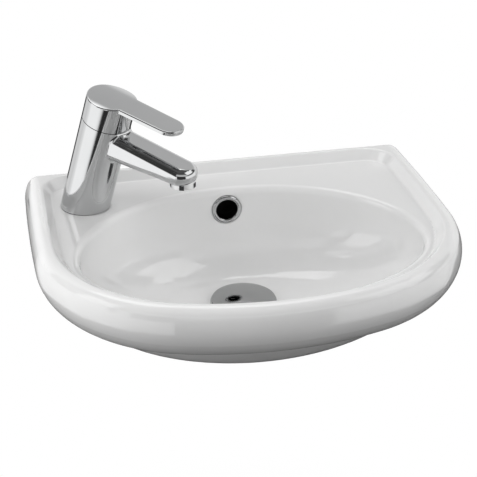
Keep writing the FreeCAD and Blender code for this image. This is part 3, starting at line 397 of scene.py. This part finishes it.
@dataclass(frozen=True)
class Plating(Finish):
    """Bright plated metal with faint wiping marks and drying spots."""

    roughness: float = 0.045
    haze_scale: float = 60.0
    haze_span: Span = (0.7, 1.4)
    shade_scale: float = 25.0
    shades: Span = (0.97, 1.02)
    mark_dullness: float = 0.05
    mark_depth: float = 0.00002

    def material(self, effects: Effects) -> bpy.types.Material:
        """Build the plating.

        Args:
            effects: Shared node groups.

        Returns:
            The material.
        """
        material, bench, shader = self.start()
        links = bench.tree.links
        marks = self.effect(bench, effects.scratches, {"Scale": 900.0, "Amount": 0.5})
        spots = self.effect(bench, effects.specks, {"Scale": 160.0, "Size": 0.12, "Amount": 0.5})
        shade = self.drift(bench, effects, self.shade_scale)
        levels = (self.roughness * part for part in self.haze_span)
        haze = self.drift(bench, effects, self.haze_scale, *levels)
        links.new(bench.mix(shade, *map(self.tone, self.shades)), shader.inputs["Base Color"])
        worn = bench.math("MULTIPLY_ADD", bench.math("MAXIMUM", marks, spots), self.mark_dullness, haze)
        links.new(worn, shader.inputs["Roughness"])
        bump = bench.add("ShaderNodeBump", {"Height": marks, "Strength": 0.15, "Distance": self.mark_depth})
        links.new(bump.outputs[0], shader.inputs["Normal"])
        shader.inputs["Metallic"].default_value = 1.0
        return material


@dataclass(frozen=True)
class Turned(Finish):
    """Plain machined metal with tool marks and dull patches."""

    roughness: float = 0.32
    patch_scale: float = 120.0
    patch_shine: float = 0.05
    patch_dullness: float = 0.15
    shades: Span = (0.8, 1.05)
    mark_depth: float = 0.00006

    def material(self, effects: Effects) -> bpy.types.Material:
        """Build the machined metal.

        Args:
            effects: Shared node groups.

        Returns:
            The material.
        """
        material, bench, shader = self.start()
        links = bench.tree.links
        marks = self.effect(bench, effects.scratches, {"Scale": 500.0, "Amount": 1.0})
        patch = self.drift(bench, effects, self.patch_scale)
        links.new(bench.mix(patch, *map(self.tone, self.shades)), shader.inputs["Base Color"])
        rough = bench.math("MULTIPLY_ADD", patch, self.patch_dullness, self.roughness - self.patch_shine)
        links.new(rough, shader.inputs["Roughness"])
        bump = bench.add("ShaderNodeBump", {"Height": marks, "Strength": 0.4, "Distance": self.mark_depth})
        links.new(bump.outputs[0], shader.inputs["Normal"])
        shader.inputs["Metallic"].default_value = 1.0
        return material


@dataclass(frozen=True)
class Moulded(Finish):
    """Moulded plastic, rubber or pressed ceramic with a fine grain."""

    roughness: float = 0.4
    grain: float = 0.00006
    gloss_scale: float = 80.0
    gloss_span: Span = (0.85, 1.15)
    shade_scale: float = 150.0
    shades: Span = (0.9, 1.08)

    def material(self, effects: Effects) -> bpy.types.Material:
        """Build the moulded surface.

        Args:
            effects: Shared node groups.

        Returns:
            The material.
        """
        material, bench, shader = self.start()
        links = bench.tree.links
        shade = self.drift(bench, effects, self.shade_scale)
        levels = (self.roughness * part for part in self.gloss_span)
        gloss = self.drift(bench, effects, self.gloss_scale, *levels)
        height = self.effect(bench, effects.relief, {
            "Ripple Scale": 300.0, "Grain Scale": 3000.0, "Grain Share": 0.8})
        links.new(bench.mix(shade, *map(self.tone, self.shades)), shader.inputs["Base Color"])
        links.new(gloss, shader.inputs["Roughness"])
        bump = bench.add("ShaderNodeBump", {"Height": height, "Strength": 0.5, "Distance": self.grain})
        links.new(bump.outputs[0], shader.inputs["Normal"])
        return material


class Finishes:
    """One material for each slot of the record, and one for each node with a finish of its own."""

    def __init__(self) -> None:
        """Build the shared effects and every material."""
        effects = Effects()
        slots = {
            Slot.GLAZE: Glaze("sanitary_glaze", (0.84, 0.84, 0.838)),
            Slot.CHROME: Plating("bright_chrome", (0.55, 0.555, 0.558)),
            Slot.BRASS: Turned("turned_brass", (0.72, 0.55, 0.27), roughness=0.3),
            Slot.STEEL: Turned("zinc_steel", (0.6, 0.6, 0.61), roughness=0.36),
            Slot.SEAL: Moulded("black_rubber", (0.028, 0.028, 0.03), roughness=0.6, grain=0.0001),
            Slot.WHITE_PLASTIC: Moulded("white_plastic", (0.75, 0.75, 0.73), roughness=0.38),
            Slot.GREY_PLASTIC: Moulded("grey_plastic", (0.24, 0.25, 0.26), roughness=0.42),
            Slot.DISC: Moulded("lapped_ceramic", (0.7, 0.68, 0.62), roughness=0.2, grain=0.00002),
            Slot.TRIM: Moulded("gloss_trim", (0.33, 0.34, 0.35), roughness=0.16, grain=0.00002),
        }
        nodes = {
            "aerator_housing": Plating("satin_ring", (0.95, 0.95, 0.95), roughness=0.34),
            "waste_cap": Plating("cap_chrome", (0.46, 0.464, 0.466), roughness=0.05),
        }
        self.by_slot = {slot: finish.material(effects) for slot, finish in slots.items()}
        self.by_node = {node: finish.material(effects) for node, finish in nodes.items()}

    def dress(self, node: str, slot: Slot) -> None:
        """Give a CAD node its finish.

        Args:
            node: Name of the node.
            slot: Slot of the finish.
        """
        finish = self.by_node.get(node, self.by_slot[slot])
        for place in frame["nodes"][node].material_slots:
            place.material = finish
        LOG.info("%s: %s", node, finish.name)


class Patterns:
    """Geometry Nodes trees for what winds or repeats, each built once."""

    STEPS_PER_TURN = 40
    RIDGE_SIDES = 6

    def __init__(self, finishes: Finishes) -> None:
        """Build each tree once.

        Args:
            finishes: Materials of the pieces.
        """
        self.finishes = finishes
        self.thread = self.make_thread()
        self.slot_shade_blocks = self.make_slot_shade_blocks()

    @staticmethod
    def open_tree(name: str, inputs: Mapping[str, str]) -> tuple[Bench, dict[str, Any]]:
        """Start a Geometry Nodes tree.

        Args:
            name: Name of the tree.
            inputs: Named inputs with their socket types; a material input is added.

        Returns:
            The bench of the tree and its input sockets by name.
        """
        tree = bpy.data.node_groups.new(name, "GeometryNodeTree")
        kinds = {**inputs, "Material": "NodeSocketMaterial"}
        for key, kind in kinds.items():
            tree.interface.new_socket(key, in_out="INPUT", socket_type=kind)
        tree.interface.new_socket("Geometry", in_out="OUTPUT", socket_type="NodeSocketGeometry")
        bench = Bench(tree)
        given = bench.add("NodeGroupInput")
        return bench, {key: given.outputs[key] for key in kinds}

    @staticmethod
    def close_tree(bench: Bench, shape: bpy.types.NodeSocket, given: Mapping[str, Any]) -> bpy.types.NodeTree:
        """Move the shape to its centre, make it real and give it its material.

        Args:
            bench: Bench of the tree.
            shape: Geometry that the tree has made.
            given: Input sockets of the tree by name.

        Returns:
            The finished tree.
        """
        moved = bench.add("GeometryNodeTransform", {"Geometry": shape, "Translation": given["Centre"]})
        real = bench.add("GeometryNodeRealizeInstances", {"Geometry": moved.outputs[0]})
        done = bench.add("GeometryNodeSetMaterial", {
            "Geometry": real.outputs[0], "Material": given["Material"]})
        bench.add("NodeGroupOutput", {"Geometry": done.outputs[0]})
        return bench.tree

    def make_thread(self) -> bpy.types.NodeTree:
        """Ridge that winds up a round tail.

        Returns:
            The tree.
        """
        sizes = dict.fromkeys(("Radius", "Height", "Pitch", "Ridge"), "NodeSocketFloat")
        bench, given = self.open_tree("winding_thread", {"Centre": "NodeSocketVector", **sizes})
        turns = bench.math("DIVIDE", given["Height"], given["Pitch"])
        path = bench.add("GeometryNodeCurveSpiral", {
            "Resolution": self.STEPS_PER_TURN, "Rotations": turns, "Start Radius": given["Radius"],
            "End Radius": given["Radius"], "Height": given["Height"]})
        section = bench.add("GeometryNodeCurvePrimitiveCircle", {
            "Resolution": self.RIDGE_SIDES, "Radius": given["Ridge"]})
        ridge = bench.add("GeometryNodeCurveToMesh", {
            "Curve": path.outputs[0], "Profile Curve": section.outputs[0], "Fill Caps": True})
        smooth = bench.add("GeometryNodeSetShadeSmooth", {"Geometry": ridge.outputs[0]})
        return self.close_tree(bench, smooth.outputs[0], given)

    def make_slot_shade_blocks(self) -> bpy.types.NodeTree:
        """Ring of black blocks that face outwards, painted shade that stands for the dark of upright slots.

        Returns:
            The tree.
        """
        inputs = {"Centre": "NodeSocketVector", "Radius": "NodeSocketFloat", "Count": "NodeSocketInt",
                  "Turn": "NodeSocketVector", "Size": "NodeSocketVector"}
        bench, given = self.open_tree("ring_of_slot_shade_blocks", inputs)
        circle = bench.add("GeometryNodeMeshCircle", {"Vertices": given["Count"], "Radius": given["Radius"]})
        turned = bench.add("GeometryNodeTransform", {
            "Geometry": circle.outputs[0], "Rotation": given["Turn"]})
        block = bench.add("GeometryNodeMeshCube", {"Size": given["Size"]})
        outwards = bench.add("GeometryNodeInputPosition").outputs[0]
        facing = bench.add("FunctionNodeAlignRotationToVector", {"Vector": outwards}, axis="X")
        placed = bench.add("GeometryNodeInstanceOnPoints", {
            "Points": turned.outputs[0], "Instance": block.outputs[0], "Rotation": facing.outputs[0]})
        return self.close_tree(bench, placed.outputs[0], given)

    def grow(self, name: str, tree: bpy.types.NodeTree, values: Mapping[str, Any], slot: Slot) -> None:
        """Make one piece from a tree and hang it on the fixed body.

        Args:
            name: Name of the piece.
            tree: Geometry Nodes tree.
            values: Inputs of the tree by name, without the material.
            slot: Slot of the finish.
        """
        things = bpy.context.scene.collection.objects
        carrier = bpy.data.objects.new(name, bpy.data.meshes.new(name))
        things.link(carrier)
        pattern = carrier.modifiers.new("pattern", "NODES")
        pattern.node_group = tree
        given = {**values, "Material": self.finishes.by_slot[slot]}
        for socket in tree.interface.items_tree:
            if socket.in_out == "INPUT":
                pattern[socket.identifier] = given[socket.name]
        evaluated = carrier.evaluated_get(bpy.context.evaluated_depsgraph_get())
        mesh = bpy.data.meshes.new_from_object(evaluated)
        bpy.data.objects.remove(carrier, do_unlink=True)
        piece = bpy.data.objects.new(name, mesh)
        things.link(piece)
        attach(piece, FIXED_BODY)
        LOG.info("%s: %d faces", name, len(mesh.polygons))


def plan_centre(box: Box) -> Span:
    """Middle of a box as seen from above."""
    low, high = box
    return (low.x + high.x) / 2, (low.y + high.y) / 2


@dataclass(frozen=True)
class Thread:
    """Screw thread on an upright tail, which stops some ridges short of both ends."""

    name: str
    slot: Slot
    pitch: float
    ridge: float
    free_ridges: float = 2.0

    def wind(self, patterns: Patterns, around: Box, radius: float, bottom: float, top: float) -> None:
        """Wind the thread.

        Args:
            patterns: Geometry Nodes trees.
            around: Box of the piece that gives the axis.
            radius: Radius of the tail.
            bottom: Lower end of the tail.
            top: Underside of the nut on it.
        """
        free = self.free_ridges * self.ridge
        start = bottom + free
        patterns.grow(self.name, patterns.thread, {
            "Centre": (*plan_centre(around), start), "Radius": radius, "Height": top - free - start,
            "Pitch": self.pitch, "Ridge": self.ridge,
        }, self.slot)


@dataclass
class SubAssembly:
    """CAD nodes that belong together, each with the slot of its finish."""

    finishes: Finishes
    patterns: Patterns
    nodes: dict[str, Slot] = field(default_factory=dict)

    def dress(self) -> None:
        """Give each node its finish."""
        for node, slot in self.nodes.items():
            self.finishes.dress(node, slot)

    def build(self) -> None:
        """Dress the nodes, which is all that a set without meshes of its own needs."""
        self.dress()


@dataclass
class BasinShell(SubAssembly):
    """Ceramic body with its overflow ring."""

    nodes: dict[str, Slot] = field(default_factory=lambda: {
        "basin_body": Slot.GLAZE, "overflow_ring": Slot.CHROME})


@dataclass
class WasteSet(SubAssembly):
    """Push waste: flange and tail, seals, backnut and the rising cap."""

    nodes: dict[str, Slot] = field(default_factory=lambda: {
        "waste_body": Slot.CHROME, "waste_top_seal": Slot.SEAL, "waste_bottom_seal": Slot.SEAL,
        "waste_backnut": Slot.BRASS, "waste_mechanism": Slot.BRASS, "waste_plunger": Slot.BRASS,
        "waste_cap": Slot.CHROME, "waste_cap_seal": Slot.SEAL})
    tail_radius: float = 0.0209
    thread: Thread = Thread("waste_tail_thread", Slot.CHROME, pitch=0.00231, ridge=0.0006)

    def build(self) -> None:
        """Dress the waste and wind the thread on the free end of its tail."""
        self.dress()
        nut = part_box("waste_backnut")
        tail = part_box("waste_body")[0].z
        self.thread.wind(self.patterns, nut, self.tail_radius, tail, nut[0].z)


@dataclass
class MixerTap(SubAssembly):
    """Tap body with its aerator, base seal and the fixing under the deck."""

    nodes: dict[str, Slot] = field(default_factory=lambda: {
        "tap_body": Slot.CHROME, "tap_base_seal": Slot.SEAL, "aerator_housing": Slot.CHROME,
        "aerator_insert": Slot.GREY_PLASTIC, "aerator_seal": Slot.SEAL, "fixing_stud": Slot.STEEL,
        "horseshoe_gasket": Slot.SEAL, "horseshoe_washer": Slot.STEEL, "fixing_nut": Slot.STEEL})
    thread: Thread = Thread("stud_thread", Slot.STEEL, pitch=0.00125, ridge=0.00035)
    # Painted shade: the key slots of the aerator ring are black blocks set just proud of it, not cuts into it.
    slot_count: int = 5
    slot_size: Point = (0.0016, 0.0044, 0.0046)
    slot_turn: float = 37.0
    slot_proud: float = 0.00006
    slot_below: float = 0.00005

    def build(self) -> None:
        """Dress the tap, wind the thread on its stud and lay painted slot shade, as black blocks, round the
        ring of its aerator.
        """
        self.dress()
        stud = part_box("fixing_stud")
        low, high = stud
        self.thread.wind(self.patterns, stud, (high.x - low.x) / 2, low.z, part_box("fixing_nut")[0].z)
        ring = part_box("aerator_housing")
        low, high = ring
        deep, _, tall = self.slot_size
        # Painted shade of the slots, in the black rubber finish.
        self.patterns.grow("aerator_slot_shade_blocks", self.patterns.slot_shade_blocks, {
            "Centre": (*plan_centre(ring), low.z + tall / 2 - self.slot_below),
            "Radius": (high.x - low.x) / 2 - deep / 2 + self.slot_proud, "Count": self.slot_count,
            "Turn": (0.0, 0.0, math.radians(self.slot_turn)), "Size": self.slot_size,
        }, Slot.SEAL)


@dataclass
class Cartridge(SubAssembly):
    """Valve inside the tap, from its base to the spindle."""

    nodes: dict[str, Slot] = field(default_factory=lambda: {
        "cartridge_base": Slot.GREY_PLASTIC, "cartridge_inlet_seals": Slot.SEAL,
        "cartridge_fixed_disc": Slot.DISC, "cartridge_moving_disc": Slot.DISC,
        "cartridge_carrier": Slot.WHITE_PLASTIC, "cartridge_housing": Slot.WHITE_PLASTIC,
        "cartridge_rotor": Slot.GREY_PLASTIC, "cartridge_pivot_pin": Slot.STEEL,
        "cartridge_spindle": Slot.STEEL, "cartridge_nut": Slot.BRASS, "cartridge_shroud": Slot.CHROME})


@dataclass
class LeverSet(SubAssembly):
    """Lever with its grub screw and index button."""

    nodes: dict[str, Slot] = field(default_factory=lambda: {
        "lever_handle": Slot.CHROME, "lever_grub_screw": Slot.STEEL, "index_button": Slot.TRIM})


@dataclass(frozen=True)
class Panel:
    """Patch of the surround that metal and glaze mirror, by direction in degrees from the front."""

    name: str
    azimuth: Span
    elevation: Span
    level: float
    soft: float

    def laps(self) -> list[Span]:
        """Azimuths of the patch, once for each turn of the circle in which it shows.

        Returns:
            The low and the high azimuth of each.
        """
        low, high = self.azimuth
        laps = [(low + lap, high + lap) for lap in (0.0, FULL_TURN, -FULL_TURN)]
        return [(start, end) for start, end in laps if end >= -HALF_TURN and start <= HALF_TURN]


@dataclass(frozen=True)
class SoftBox:
    """Soft lamp that lights the object and stays out of its reflections."""

    name: str
    azimuth: float
    elevation: float
    distance: float
    size: Span
    level: float
    target: Point = (0.0, -0.15, 0.03)

    def place(self) -> Vector:
        """Place of the lamp.

        Returns:
            The lamp's centre.
        """
        turn, rise = math.radians(self.azimuth), math.radians(self.elevation)
        way = Vector((math.sin(turn) * math.cos(rise), -math.cos(turn) * math.cos(rise), math.sin(rise)))
        return Vector(self.target) + way * self.distance

    def power(self) -> float:
        """Power at which the lamp is as bright as its level."""
        return self.level * math.pi * self.size[0] * self.size[1]


@dataclass
class Studio:
    """Camera, soft lamps, pale floor and white surround."""

    camera_at: Point = (-0.28225, -1.40652, 0.71195)
    target: Point = (-0.00943, -0.150, 0.04431)
    lens: float = 117.12
    sensor: float = 36.0
    clip: Span = (0.05, 50.0)
    floor_centre: Span = (0.0, -0.15)
    floor_height: float = -0.79
    floor_radius: float = 0.9
    floor_sides: int = 96
    floor_fade: Span = (0.35, 0.95)
    floor_colour: Colour = (0.62, 0.62, 0.62)
    floor_lift: float = 0.55
    sky: float = 0.1
    ground: float = 0.02
    horizon: Span = (-0.25, 0.35)
    backdrop: float = 1.0
    dark_floor: float = 0.04
    dark_floor_edge: Span = (-34.0, -29.0)
    lamps: tuple[SoftBox, ...] = (
        SoftBox("top_box", -10.0, 52.0, 2.0, (1.6, 1.0), 2.5),
        SoftBox("rear_box", 180.0, 60.0, 1.7, (1.5, 1.0), 1.9),
        SoftBox("front_box", 25.0, 15.0, 2.0, (1.2, 1.0), 1.15),
        SoftBox("front_right_box", 40.0, 38.0, 2.0, (1.2, 1.0), 0.85),
        SoftBox("left_box", -92.0, 22.0, 1.5, (1.1, 1.0), 3.6),
        SoftBox("left_low_box", -85.0, -8.0, 1.5, (1.0, 0.6), 2.66),
        SoftBox("right_box", 75.0, 22.0, 1.5, (1.1, 1.0), 1.85),
    )
    # A later panel covers those before it.
    panels: tuple[Panel, ...] = (
        Panel("rear_floor", (115.0, 181.0), (-95.0, -14.0), 0.04, 6.0),
        Panel("ceiling", (-200.0, 200.0), (46.0, 120.0), 0.12, 10.0),
        Panel("rear_grey", (118.0, 235.0), (22.0, 60.0), 0.66, 10.0),
        Panel("rear_top", (140.0, 228.0), (52.0, 74.0), 2.1, 5.0),
        Panel("left_rear", (-152.0, -124.0), (-30.0, 10.0), 1.0, 8.0),
        Panel("left_low", (-124.0, -27.0), (-32.0, 6.0), 1.15, 4.0),
        Panel("left_core", (-112.0, -60.0), (-33.0, 8.0), 1.5, 14.0),
        Panel("left_shade", (-132.0, -27.0), (8.0, 60.0), 0.06, 4.0),
        Panel("left_high", (-101.0, -71.5), (5.0, 46.0), 1.6, 1.5),
        Panel("left_strip", (-66.0, -55.0), (6.0, 17.0), 1.2, 3.0),
        Panel("right_low", (30.0, 105.0), (-24.0, 12.0), 1.3, 4.0),
        Panel("right_shade", (30.0, 118.0), (14.0, 60.0), 0.12, 3.0),
        Panel("right_high", (47.0, 98.0), (25.5, 56.0), 1.45, 1.5),
        Panel("right_high_end", (96.0, 115.0), (39.0, 49.0), 1.45, 1.5),
        Panel("front_dark", (-27.0, 28.0), (-40.0, 16.0), 0.05, 4.0),
        Panel("front_upper", (-58.0, 47.0), (19.0, 37.0), 0.7, 2.5),
        Panel("front_top", (-58.0, 47.0), (37.0, 60.0), 0.1, 2.5),
        Panel("rear_left_dark", (-190.0, -156.0), (-34.0, -4.0), 0.02, 18.0),
    )

    @staticmethod
    def aim(thing: bpy.types.Object, target: Point) -> None:
        """Turn a camera or lamp towards a point."""
        way = Vector(target) - thing.location
        thing.rotation_euler = way.to_track_quat("-Z", "Y").to_euler()

    def place_camera(self) -> None:
        """Put the camera where the photograph was taken from."""
        data = bpy.data.cameras.new("camera")
        data.lens = self.lens
        data.sensor_width = self.sensor
        data.clip_start, data.clip_end = self.clip
        camera = bpy.data.objects.new("camera", data)
        camera.location = self.camera_at
        bpy.context.scene.collection.objects.link(camera)
        self.aim(camera, self.target)
        bpy.context.scene.camera = camera

    def hang_lamps(self) -> None:
        """Hang the soft lamps round the object."""
        for box in self.lamps:
            data = bpy.data.lights.new(box.name, "AREA")
            data.shape = "RECTANGLE"
            data.size, data.size_y = box.size
            data.energy = box.power()
            lamp = bpy.data.objects.new(box.name, data)
            lamp.location = box.place()
            lamp.visible_glossy = False
            bpy.context.scene.collection.objects.link(lamp)
            self.aim(lamp, box.target)

    def floor_material(self) -> bpy.types.Material:
        """Pale matt floor that keeps the shadow near the object and is white further out.

        Returns:
            The material.
        """
        material = bpy.data.materials.new("pale_floor")
        material.use_nodes = True
        bench = Bench(material.node_tree)
        path = bench.add("ShaderNodeLightPath")
        shown = bench.math("MAXIMUM", path.outputs["Is Camera Ray"], bench.mirrored(path))
        across, deep = self.floor_centre
        place = bench.add("ShaderNodeMapping", {
            "Vector": bench.object_place(), "Location": (-across, -deep, -self.floor_height)})
        far = bench.add("ShaderNodeVectorMath", {0: place.outputs[0]}, operation="LENGTH").outputs["Value"]
        fade = bench.ramp(far, *(self.floor_radius * part for part in self.floor_fade))
        lit = bench.add("ShaderNodeBsdfDiffuse", {"Color": (*self.floor_colour, 1.0)})
        lift = bench.add("ShaderNodeEmission", {
            "Color": WHITE, "Strength": bench.math("MULTIPLY", shown, self.floor_lift)})
        near = bench.add("ShaderNodeAddShader", {0: lit.outputs[0], 1: lift.outputs[0]})
        white = bench.add("ShaderNodeEmission", {"Color": WHITE, "Strength": 1.0})
        mixed = bench.add("ShaderNodeMixShader", {
            0: bench.math("MULTIPLY", fade, shown), 1: near.outputs[0], 2: white.outputs[0]})
        bench.add("ShaderNodeOutputMaterial", {"Surface": mixed.outputs[0]})
        return material

    def lay_floor(self) -> None:
        """Lay a pale round floor that fades into the white of the surround."""
        mesh = bpy.data.meshes.new("floor")
        shape = bmesh.new()
        bmesh.ops.create_circle(shape, cap_ends=True, segments=self.floor_sides, radius=self.floor_radius)
        bmesh.ops.translate(shape, verts=shape.verts, vec=(*self.floor_centre, self.floor_height))
        shape.to_mesh(mesh)
        shape.free()
        mesh.materials.append(self.floor_material())
        floor = bpy.data.objects.new("floor", mesh)
        floor.visible_glossy = False
        bpy.context.scene.collection.objects.link(floor)

    @staticmethod
    def panel_group() -> bpy.types.NodeTree:
        """Mark of a patch of directions between two azimuths and two elevations.

        Returns:
            The group.
        """
        keys = ("Azimuth", "Elevation", "Azimuth Low", "Azimuth High", "Elevation Low", "Elevation High")
        inputs = {**dict.fromkeys(keys, 0.0), "Soft": 5.0}
        bench, given, out = Effects.open_group("surround_panel", inputs, ["Mask"])
        half_edge = 0.5
        mask: Any = 1.0
        for key in ("Azimuth", "Elevation"):
            over = bench.math("SUBTRACT", given[key], given[key + " Low"])
            under = bench.math("SUBTRACT", given[key + " High"], given[key])
            for inside in (over, under):
                edge = bench.ramp(bench.math("DIVIDE", inside, given["Soft"]), -half_edge, half_edge)
                mask = bench.math("MULTIPLY", edge, mask)
        bench.tree.links.new(mask, out.inputs["Mask"])
        return bench.tree

    def panel_level(self, bench: Bench, way: bpy.types.Node) -> bpy.types.NodeSocket:
        """Brightness of the surround that metal and glaze mirror.

        Args:
            bench: Bench of the world.
            way: Separated direction of the ray.

        Returns:
            The brightness, from the backdrop and the panels on it.
        """
        across, deep, high = way.outputs
        azimuth = bench.math("DEGREES", bench.math("ARCTAN2", across, bench.math("MULTIPLY", deep, -1.0)))
        elevation = bench.math("DEGREES", bench.math("ARCSINE", high))
        group = self.panel_group()
        level = bench.ramp(elevation, *self.dark_floor_edge, self.dark_floor, self.backdrop)
        for panel in self.panels:
            mask: Any = 0.0
            for low, high_side in panel.laps():
                patch = bench.add("ShaderNodeGroup", {
                    "Azimuth": azimuth, "Azimuth Low": low, "Azimuth High": high_side,
                    "Elevation": elevation, "Elevation Low": panel.elevation[0],
                    "Elevation High": panel.elevation[1], "Soft": panel.soft,
                }, node_tree=group, label=panel.name)
                mask = bench.math("MAXIMUM", patch.outputs[0], mask)
            level = bench.blend(mask, level, panel.level)
        return level

    def surround(self) -> None:
        """Set the world: white to the camera, panels for what mirrors and a soft sky for the rest."""
        world = bpy.data.worlds.new("studio")
        bpy.context.scene.world = world
        world.use_nodes = True
        bench = Bench(world.node_tree)
        way = bench.add("ShaderNodeSeparateXYZ", {0: bench.add("ShaderNodeTexCoord").outputs["Generated"]})
        level = self.panel_level(bench, way)
        soft = bench.ramp(way.outputs["Z"], *self.horizon, self.ground, self.sky)
        path = bench.add("ShaderNodeLightPath")
        seen = bench.blend(bench.mirrored(path), soft, level)
        shown = bench.blend(path.outputs["Is Camera Ray"], seen, self.backdrop)
        light = bench.add("ShaderNodeBackground", {"Color": WHITE, "Strength": shown})
        bench.add("ShaderNodeOutputWorld", {"Surface": light.outputs[0]})

    def build(self) -> None:
        """Set up the whole studio."""
        self.place_camera()
        self.hang_lamps()
        self.lay_floor()
        self.surround()
        bpy.context.scene.view_settings.view_transform = "Standard"


def clear_stock() -> None:
    """Remove what a new file holds: the cube, the lamp and its camera."""
    for name in ("Cube", "Light", "Camera"):
        thing = bpy.data.objects.get(name)
        if thing is not None:
            bpy.data.objects.remove(thing, do_unlink=True)


def main() -> None:
    """Set up the studio, then build the washbasin piece by piece."""
    logging.basicConfig(level=logging.INFO, format="%(name)s %(message)s")
    clear_stock()
    Studio().build()
    finishes = Finishes()
    patterns = Patterns(finishes)
    for part in (BasinShell, WasteSet, MixerTap, Cartridge, LeverSet):
        part(finishes, patterns).build()


if __name__ == "__main__":
    main()
